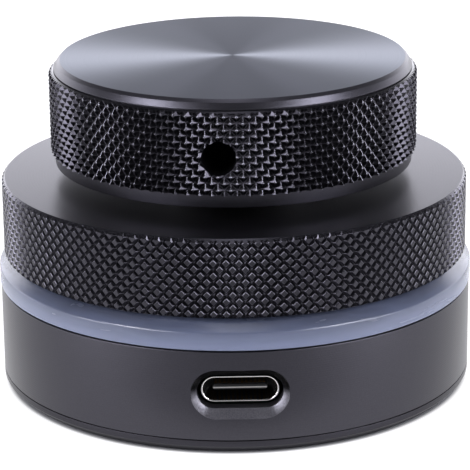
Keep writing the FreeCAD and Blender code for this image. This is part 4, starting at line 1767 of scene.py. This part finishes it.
@dataclass(frozen=True)
class Softbox:
    """A soft patch of light in the surroundings.

    Azimuth runs from the camera's side round to its right, elevation up from the table. Light is
    full inside the first half angle and gone outside the second; all angles are degrees.
    """

    azimuth: float
    elevation: float
    inner: float
    outer: float
    power: float

    def light(self, tree: Tree, way: Socket) -> Socket:
        """Adds the patch to the surroundings.

        Args:
            tree: The world's tree.
            way: The direction that is looked in.

        Returns:
            A socket with the patch's light in that direction.
        """
        turn, rise = math.radians(self.azimuth), math.radians(self.elevation)
        centre = (math.sin(turn) * math.cos(rise), -math.cos(turn) * math.cos(rise), math.sin(rise))
        nearness = add_node(
            tree, "ShaderNodeVectorMath", {0: way, 1: centre}, operation="DOT_PRODUCT"
        )["Value"]
        return add_node(tree, "ShaderNodeMapRange", {
            "Value": nearness, "From Min": math.cos(math.radians(self.outer)),
            "From Max": math.cos(math.radians(self.inner)), "To Max": self.power,
        }, interpolation_type="SMOOTHSTEP")[0]


@dataclass
class Studio:
    """Lit pale table, a soft glow round the horizon, softboxes above and in front, and the camera."""

    room_front: float = 0.08
    room_behind: float = 0.42
    glow_front: float = 0.28
    glow_behind: float = 3.3
    glow_top: float = 27.0
    glow_full: float = 16.0
    turn_front: float = -0.2
    turn_behind: float = 0.8
    light_colour: str = "#F6F6FF"
    softboxes: tuple[Softbox, ...] = (
        Softbox(azimuth=180, elevation=88, inner=6, outer=13, power=4.6),
        Softbox(azimuth=0, elevation=71, inner=6, outer=12, power=1.5),
        Softbox(azimuth=44, elevation=20, inner=9, outer=15, power=8.0),
        Softbox(azimuth=-44, elevation=20, inner=9, outer=15, power=8.0),
        Softbox(azimuth=61, elevation=37, inner=8, outer=11, power=17.0),
        Softbox(azimuth=-61, elevation=37, inner=8, outer=11, power=17.0),
        Softbox(azimuth=71, elevation=6, inner=7, outer=12, power=10.0),
        Softbox(azimuth=-71, elevation=6, inner=7, outer=12, power=10.0),
    )
    table_light: float = 0.9
    table_dim: float = 0.63
    contact: tuple[float, float] = (27.7, 28.6)
    dim_start: tuple[float, float] = (33.3, 39.0)
    dim_spread: tuple[float, float] = (0.35, 1.3)
    floor_size: float = 4000.0
    focal_pixels: float = 2498.0
    image_pixels: float = 470.0
    sensor: float = 36.0
    camera_place: tuple[float, float, float] = (0.0, -290.0, 110.5)
    camera_pitch: float = 17.88
    camera_roll: float = -0.67
    camera_swing: float = -0.91
    centre_shift: float = 0.4
    clip: tuple[float, float] = (10.0, 10000.0)

    def build(self) -> None:
        """Makes the floor, the lights and the camera."""
        self.floor()
        self.surroundings()
        self.camera()

    def floor(self) -> None:
        """A wide pale table, lit through but under the part, and dimmer towards the camera."""
        half = self.floor_size / 2 * MM
        floor = mesh_object("floor", [(-half, -half, 0), (half, -half, 0), (half, half, 0), (-half, half, 0)],
                            [(0, 1, 2, 3)])
        paper = Moulding("pale_table_paper", colour="#88888A", fleck="#8E8E90", roughness=0.7,
                         grain=2.0, grain_depth=0.001).make()
        tree = paper.node_tree
        shader = next(node for node in tree.nodes if node.type == "BSDF_PRINCIPLED")
        feed(tree, shader, {"Emission Color": linear("#FFFFFF"), "Emission Strength": self.table_glow(tree)})
        floor.data.materials.append(paper)

    def table_glow(self, tree: Tree) -> Socket:
        """How bright the table glows at each place.

        Args:
            tree: The table's tree.

        Returns:
            A socket with the strength.
        """
        place = add_node(tree, "ShaderNodeTexCoord")["Object"]
        across, along, _ = add_node(tree, "ShaderNodeSeparateXYZ", {0: place})
        nearness = add_node(tree, "ShaderNodeMath", {0: along, 1: -1.0}, operation="MULTIPLY")[0]
        width = add_node(tree, "ShaderNodeMath", {0: across}, operation="ABSOLUTE")[0]
        aside = add_node(tree, "ShaderNodeMath", {0: width, 1: nearness}, operation="DIVIDE")[0]
        before, outside, clear = (
            add_node(
                tree, "ShaderNodeMapRange", {"Value": value, "From Min": start, "From Max": end},
                interpolation_type="SMOOTHSTEP",
            )[0]
            for value, (start, end) in (
                (nearness, [edge * MM for edge in self.dim_start]), (aside, self.dim_spread),
                (radius_at(tree, place), [edge * MM for edge in self.contact]),
            )
        )
        beside = add_node(tree, "ShaderNodeMath", {0: 1.0, 1: outside}, operation="SUBTRACT")[0]
        dim = add_node(tree, "ShaderNodeMath", {0: before, 1: beside}, operation="MULTIPLY")[0]
        strength = add_node(tree, "ShaderNodeMath", {
            0: dim, 1: -self.table_light * self.table_dim, 2: self.table_light,
        }, operation="MULTIPLY_ADD")[0]
        return add_node(tree, "ShaderNodeMath", {0: strength, 1: clear}, operation="MULTIPLY")[0]

    def surroundings(self) -> None:
        """Light from all round by its direction."""
        world = bpy.data.worlds.new("studio")
        world.use_nodes = True
        tree = world.node_tree
        tree.nodes.clear()
        way = add_node(tree, "ShaderNodeTexCoord")["Generated"]
        towards = add_node(tree, "ShaderNodeSeparateXYZ", {0: way})
        glow, room = (
            add_node(tree, "ShaderNodeMapRange", {
                "Value": towards["Y"], "From Min": self.turn_front, "From Max": self.turn_behind,
                "To Min": front, "To Max": behind,
            }, interpolation_type="SMOOTHSTEP")[0]
            for front, behind in ((self.glow_front, self.glow_behind), (self.room_front, self.room_behind))
        )
        strength = add_node(tree, "ShaderNodeMapRange", {
            "Value": towards["Z"], "From Min": math.sin(math.radians(self.glow_top)),
            "From Max": math.sin(math.radians(self.glow_full)), "To Min": room, "To Max": glow,
        }, interpolation_type="SMOOTHSTEP")[0]
        for softbox in self.softboxes:
            light = softbox.light(tree, way)
            strength = add_node(tree, "ShaderNodeMath", {0: strength, 1: light}, operation="ADD")[0]
        lit = add_node(
            tree, "ShaderNodeBackground", {"Color": linear(self.light_colour), "Strength": strength}
        )[0]
        add_node(tree, "ShaderNodeOutputWorld", {"Surface": lit})
        bpy.context.scene.world = world
        bpy.context.scene.view_settings.view_transform = "Standard"

    def camera(self) -> None:
        """The camera at the photograph's place."""
        pitch, roll = math.radians(self.camera_pitch), math.radians(self.camera_roll)
        level_up = Vector((0, math.sin(pitch), math.cos(pitch)))
        right = Vector((1, 0, 0)) * math.cos(roll) + level_up * math.sin(roll)
        up = level_up * math.cos(roll) - Vector((1, 0, 0)) * math.sin(roll)
        back = right.cross(up)
        turn = Matrix((right, up, back)).transposed().to_4x4()
        data = bpy.data.cameras.new("camera")
        data.sensor_width = self.sensor
        data.lens = self.focal_pixels * self.sensor / self.image_pixels
        data.shift_x = self.centre_shift / self.image_pixels
        data.clip_start, data.clip_end = (reach * MM for reach in self.clip)
        camera = bpy.data.objects.new("camera", data)
        swing = Matrix.Rotation(math.radians(self.camera_swing), 4, "Z")
        camera.matrix_world = swing @ Matrix.Translation(Vector(self.camera_place) * MM) @ turn
        bpy.context.scene.collection.objects.link(camera)
        bpy.context.scene.camera = camera


def main() -> None:
    """Builds the sub-assemblies in order and reports each piece."""
    logging.basicConfig(level=logging.INFO, format="%(message)s")
    knurl_rule, bar_rule = KnurlRule(), BarRule()
    assemblies = (
        AntiSlipPad(), BottomCover(bar_rule), BaseHousing(bar_rule), LightRing(bar_rule),
        UpperHousing(knurl_rule, bar_rule), UsbPort(), SwitchDome(), SwitchPlunger(), Knob(knurl_rule),
        Innards(),
    )
    for assembly in assemblies:
        for piece in assembly.build():
            LOG.info("%s: %s, %d faces", type(assembly).__name__, piece.name, len(piece.data.polygons))
    Studio().build()


if __name__ == "__main__":
    main()
